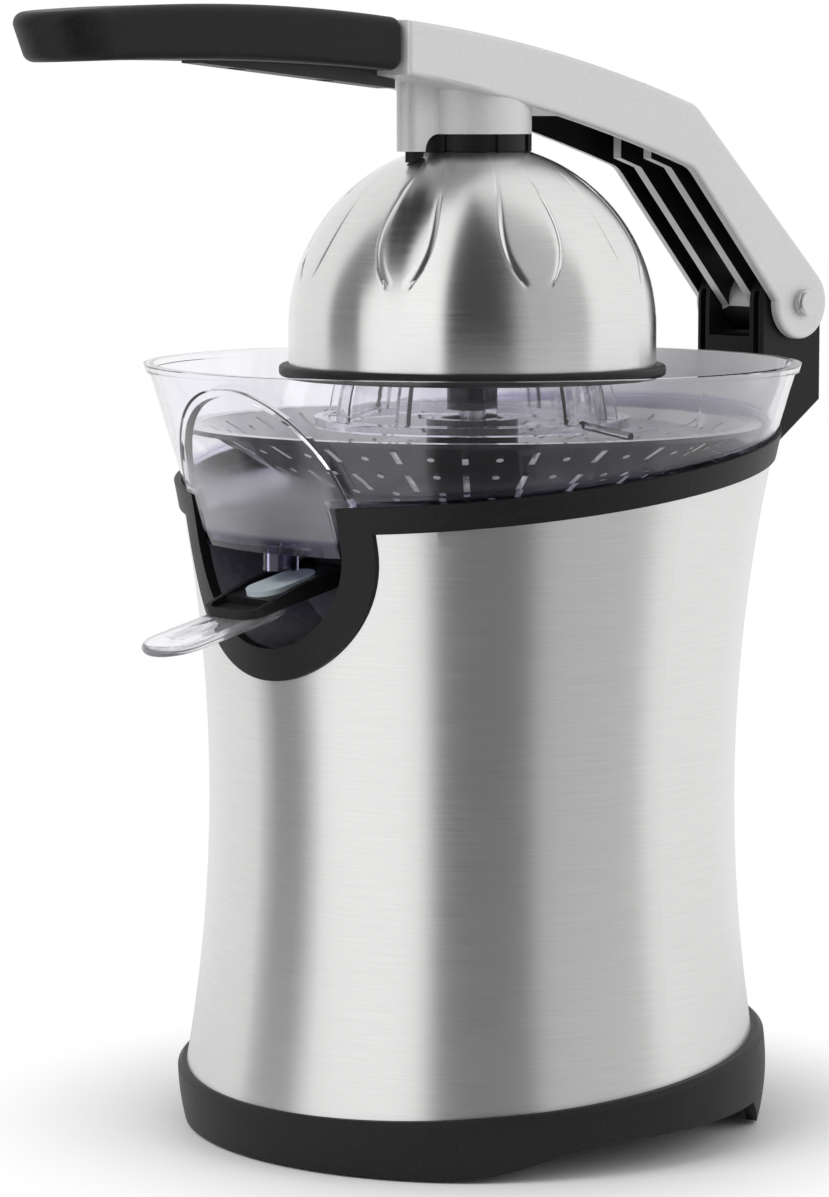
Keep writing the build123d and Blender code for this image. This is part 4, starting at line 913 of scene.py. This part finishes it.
# %% Thumb tongue
tongue_low, tongue_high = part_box("drip_tongue")
tongue_half = tongue_high[0]
tongue_thick = 3.0 * mm
tongue_lean = math.radians(12.5)
root_y = tongue_high[1] - tongue_thick * math.sin(tongue_lean) - tongue_half * math.cos(tongue_lean)
root_z = tongue_high[2] - tongue_half * math.sin(tongue_lean)
tongue_extra = 2.6 * mm
tongue_run = (root_y - tongue_low[1]) / math.cos(tongue_lean) - tongue_half + tongue_extra
tongue_nose = tongue_thick / 2
insets = [0, 0.15, 0.45, 0.9, 1.5, 2.2, 2.8, 3.4, 4.0, 4.8, 5.8, 7.0, 8.2, 9.4, tongue_half / mm]
rim_points = 72
hollow_middle, hollow_half_long, hollow_half_wide = 0.66, 12.5 * mm, 7.6 * mm
hollow_deep, hollow_flat = 2.0 * mm, 0.55


def tongue_point(turn, inset, upper):
    """A point of the spoon: round the rim by turn, in from the rim by inset."""
    reach = tongue_half - inset
    x = reach * math.cos(turn)
    s = reach * math.sin(turn) - (tongue_run if math.sin(turn) < 0 else 0)
    swell = math.sqrt(max(0.0, tongue_nose**2 - (tongue_nose - min(inset, tongue_nose))**2))
    height = -tongue_nose + (swell if upper else -swell)
    if upper:
        long_way = (s + hollow_middle * tongue_run) / hollow_half_long
        wide_way = x / hollow_half_wide
        height -= hollow_deep * (1 - ease(math.hypot(long_way, wide_way), hollow_flat, 1.0))
    return (x, root_y + s * math.cos(tongue_lean) - height * math.sin(tongue_lean),
            root_z + s * math.sin(tongue_lean) + height * math.cos(tongue_lean))


turns_round = [math.pi * 2 * (i + 0.5) / rim_points for i in range(rim_points)]
tongue_points = [tongue_point(turn, inset * mm, upper) for upper in (True, False) for inset in insets
                 for turn in turns_round]
tongue_faces = []
for side in (0, 1):
    for ring in range(len(insets) - 1):
        for i in range(rim_points):
            first = (side * len(insets) + ring) * rim_points
            a, b = first + i, first + (i + 1) % rim_points
            quad = (a, b, b + rim_points, a + rim_points)
            tongue_faces.append(quad if side == 0 else quad[::-1])
tongue_mesh = bpy.data.meshes.new("thumb_tongue")
tongue_mesh.from_pydata(tongue_points, [], tongue_faces)
mend(tongue_mesh, weld=0.02 * mm)
tongue = add_object("thumb_tongue", tongue_mesh)
dress(tongue, tongue_clear)
shade_smooth(tongue, angle=60.0)
place_piece(tongue, "drip", ["drip_tongue"])
print("tongue faces", len(tongue_mesh.polygons), "run", round(tongue_run, 4))

# %% [markdown]
# The drip tray is a shallow dish. Its rim is low at the front and rises towards the hinge, and its
# floor is sunk in front of the pad. Two cutters, laid in the tray's own tilted plane and measured
# from its hinge, take this out of a copy of the solid's mesh.

# %% Dished drip tray
pin_low, pin_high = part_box("drip_pin")
hinge_y = (pin_low[1] + pin_high[1]) / 2
hinge_z = (pin_low[2] + pin_high[2]) / 2
tray_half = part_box("drip_tray")[1][0]
tray_front = -47.0 * mm
tray_rim = 1.6 * mm
rim_side = [(-3.0, 1.0), (3.0, 1.0), (21.0, 3.4), (21.0, 8.0), (-3.0, 8.0)]
dish_rear, dish_floor, dish_top = 9.8 * mm, -0.5 * mm, 8.0 * mm
dish_corner, corner_steps = 4.2 * mm, 8
solid_weld = 0.002 * mm


def tray_point(x, y, z):
    """From the tray's level plane, measured from its hinge, to the frame."""
    return (x, hinge_y + y * math.cos(tongue_lean) - z * math.sin(tongue_lean),
            hinge_z + y * math.sin(tongue_lean) + z * math.cos(tongue_lean))


def cutter(name, low, high):
    """Closed prism between two matching outlines in the tray's plane."""
    count = len(low)
    faces = [tuple(range(count)), tuple(range(count, 2 * count))]
    faces += [(i, (i + 1) % count, count + (i + 1) % count, count + i) for i in range(count)]
    mesh = bpy.data.meshes.new(name)
    mesh.from_pydata([tray_point(*point) for point in low + high], [], faces)
    mend(mesh)
    return add_object(name, mesh)


rim_outline = [(tray_front + y * mm, z * mm) for y, z in rim_side]
rim_cutter = cutter("rim_cutter", [(-2 * tray_half, y, z) for y, z in rim_outline],
                    [(2 * tray_half, y, z) for y, z in rim_outline])
dish_half = tray_half - tray_rim
dish_front = tray_front + tray_rim
corner_turns = [math.pi / 2 * i / corner_steps for i in range(corner_steps + 1)]
corner_points = [(dish_corner * (1 - math.cos(t)), dish_corner * (1 - math.sin(t)))
                 for t in corner_turns]
dish_plan = [(dish_half, tray_front + dish_rear), (-dish_half, tray_front + dish_rear)]
dish_plan += [(-dish_half + near, dish_front + far) for near, far in corner_points]
dish_plan += [(dish_half - far, dish_front + near) for near, far in corner_points]
dish_cutter = cutter("dish_cutter", [(x, y, dish_floor) for x, y in dish_plan],
                     [(x, y, dish_top) for x, y in dish_plan])
tray = add_object("dished_tray", nodes["drip_tray"].data.copy())
mend(tray.data, weld=solid_weld, outward=False)
for tool in (rim_cutter, dish_cutter):
    cut = tray.modifiers.new(tool.name, "BOOLEAN")
    cut.operation = "DIFFERENCE"
    cut.solver = "EXACT"
    cut.object = tool
dished = settled_mesh(tray)
tray.modifiers.clear()
tray.data = dished
for tool in (rim_cutter, dish_cutter):
    bpy.data.objects.remove(tool)
dress(tray, black)
shade_smooth(tray)
place_piece(tray, "drip", ["drip_tray"])
print("tray faces", len(tray.data.polygons))

# %% [markdown]
# Under the plunger stands the return spring, one length of round wire wound in open turns.

# %% Return spring
spring_low, spring_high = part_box("return_spring")
spring_length = spring_high[2] - spring_low[2]
spring_x = (spring_low[0] + spring_high[0]) / 2
spring_y = (spring_low[1] + spring_high[1]) / 2
wire_radius = 0.5 * mm
coil_radius = (spring_high[0] - spring_low[0]) / 2 - wire_radius
coil_turns, steps_in_turn, wire_sides = 3, 36, 12


def wire_ring(step):
    """Points round the wire at one step of the coil."""
    turn = 2 * math.pi * step / steps_in_turn
    rise = step / (coil_turns * steps_in_turn) * (spring_length - 2 * wire_radius)
    ring = []
    for side in range(wire_sides):
        roll = 2 * math.pi * side / wire_sides
        out = coil_radius + wire_radius * math.cos(roll)
        ring.append((spring_x + out * math.cos(turn), spring_y + out * math.sin(turn),
                     spring_low[2] + wire_radius + rise + wire_radius * math.sin(roll)))
    return ring


coil_rings = coil_turns * steps_in_turn + 1
coil_points = [point for step in range(coil_rings) for point in wire_ring(step)]
coil_end = len(coil_points) - wire_sides
coil_faces = [tuple(range(wire_sides)), tuple(range(coil_end, coil_end + wire_sides))]
for step in range(coil_rings - 1):
    for side in range(wire_sides):
        a, b = step * wire_sides + side, step * wire_sides + (side + 1) % wire_sides
        coil_faces.append((a, b, b + wire_sides, a + wire_sides))
coil_mesh = bpy.data.meshes.new("return_coil")
coil_mesh.from_pydata(coil_points, [], coil_faces)
mend(coil_mesh)
coil = add_object("return_coil", coil_mesh)
spring_slot = slot_of_node["return_spring"]
dress(coil, finish_of_slot[spring_slot])
shade_smooth(coil, angle=50.0)
place_piece(coil, body_of_node["return_spring"], ["return_spring"])
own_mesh(coil)

# %% [markdown]
# The base plate and the handle are held by pan-head screws with a cross recess. One screw is turned,
# its face is cut with the cross, and Geometry Nodes sets a copy at every screw hole, each stopped at
# its own angle, as a fitter leaves them.

# %% Where the screws sit
screw_bodies = {"base_screws": "root", "grip_screws": "arm"}
tip_depth = 0.01 * mm


def screw_spots(node):
    """Place, head radius, shank radius and length of each screw in a node, heads downwards."""
    work = bmesh.new()
    work.from_mesh(nodes[node].data)
    bmesh.ops.remove_doubles(work, verts=work.verts, dist=solid_weld)
    waiting = set(work.verts)
    spots = []
    while waiting:
        group, front = set(), [waiting.pop()]
        while front:
            vert = front.pop()
            group.add(vert)
            for edge in vert.link_edges:
                other = edge.other_vert(vert)
                if other in waiting:
                    waiting.remove(other)
                    front.append(other)
        xs, ys, zs = [[v.co[axis] for v in group] for axis in range(3)]
        middle = ((min(xs) + max(xs)) / 2, (min(ys) + max(ys)) / 2, min(zs))
        tip = [v.co for v in group if v.co.z > max(zs) - tip_depth]
        shank = max(math.hypot(co.x - middle[0], co.y - middle[1]) for co in tip)
        spots.append((middle, (max(xs) - min(xs)) / 2, shank, max(zs) - min(zs)))
    work.free()
    return sorted(spots)


spots_of = {node: screw_spots(node) for node in screw_bodies}
print("screws", {node: len(spots) for node, spots in spots_of.items()})

# %% [markdown]
# The face of the screw is a disc with a cross-shaped hole, cut into triangles. Walls and a floor
# close the recess, and rings down to the shank's end close the rest.

# %% One cross-head screw
screw_turns = 28
screw_bevel, screw_head_height, recess_depth = 0.3 * mm, 1.8 * mm, 1.1 * mm
recess_half_width, recess_reach = 0.17, 0.58
same_point = 1e-7


def cross_screw(head, shank, length):
    """Mesh of one screw: its face in the plane Z = 0, its shank upwards."""
    arm, reach = recess_half_width * head, recess_reach * head
    cross = [(reach, -arm), (reach, arm), (arm, arm), (arm, reach), (-arm, reach), (-arm, arm),
             (-reach, arm), (-reach, -arm), (-arm, -arm), (-arm, -reach), (arm, -reach), (arm, -arm)]
    corners = len(cross)
    around = screw_turns
    turns = [2 * math.pi * i / around for i in range(around)]
    face_radius = head - screw_bevel
    rim = [(face_radius * math.cos(t), face_radius * math.sin(t)) for t in turns]
    loops = [(i, (i + 1) % around) for i in range(around)]
    loops += [(around + i, around + (i + 1) % corners) for i in range(corners)]
    outline = [Vector(point) for point in rim + cross]
    flat, _, triangles, *_ = delaunay_2d_cdt(outline, loops, [], 0, same_point)
    points = [(v.x, v.y, 0) for v in flat]
    faces = []
    for triangle in triangles:
        cx = sum(flat[i].x for i in triangle) / 3
        cy = sum(flat[i].y for i in triangle) / 3
        in_cross = (abs(cx) < arm and abs(cy) < reach) or (abs(cy) < arm and abs(cx) < reach)
        if not in_cross:
            faces.append(tuple(triangle))
    deep = len(points)
    points += [(x, y, recess_depth) for x, y in cross]
    for i in range(corners):
        after = (i + 1) % corners
        faces.append((around + i, around + after, deep + after, deep + i))
    faces.append(tuple(range(deep, deep + corners)))
    last = 0
    profile = ((head, screw_bevel), (head, screw_head_height), (shank, screw_head_height),
               (shank, length))
    for radius, z in profile:
        first = len(points)
        points += [(radius * math.cos(t), radius * math.sin(t), z) for t in turns]
        for i in range(around):
            after = (i + 1) % around
            faces.append((last + i, last + after, first + after, first + i))
        last = first
    faces.append(tuple(range(last, last + around)))
    mesh = bpy.data.meshes.new("cross_screw")
    mesh.from_pydata(points, [], faces)
    mend(mesh)
    return mesh


samples = {node: cross_screw(*spots[0][1:]) for node, spots in spots_of.items()}
print("screw faces", {node: len(mesh.polygons) for node, mesh in samples.items()})

# %% [markdown]
# A node group sets the sample on each place, turned by a chance of its own.

# %% Fit the screws
screw_seeds = {"base_screws": 3, "grip_screws": 8}


def set_on_points():
    """Node group: an object set on every point, each copy turned by chance about Z."""
    group, given = start_group("set_on_points", Places="Geometry", Piece="Object", Seed="Int",
                               Finish="Material")
    piece = put(group, "GeometryNodeObjectInfo")
    join(group, given["Piece"], piece.inputs["Object"])
    chance = put(group, "FunctionNodeRandomValue", data_type="FLOAT")
    chance.inputs["Min"].default_value = 0.0
    chance.inputs["Max"].default_value = math.pi
    join(group, given["Seed"], chance.inputs["Seed"])
    angle = [output for output in chance.outputs if output.enabled][0]
    copies = set_turned(group, given["Places"], piece.outputs["Geometry"], angle)
    end_group(group, copies, given["Finish"])
    return group


fitter = set_on_points()
for node, spots in spots_of.items():
    sample = add_object("sample_screw", samples[node])
    places = bpy.data.meshes.new("screw_places")
    places.from_pydata([spot[0] for spot in spots], [], [])
    screws = grow("cross_" + node, places, fitter, screw_bodies[node], "zinc_steel", [node],
                  Piece=sample, Seed=screw_seeds[node], Finish=zinc)
    shade_smooth(screws)
    bpy.data.objects.remove(sample)
    print(node, "faces", len(screws.data.polygons))
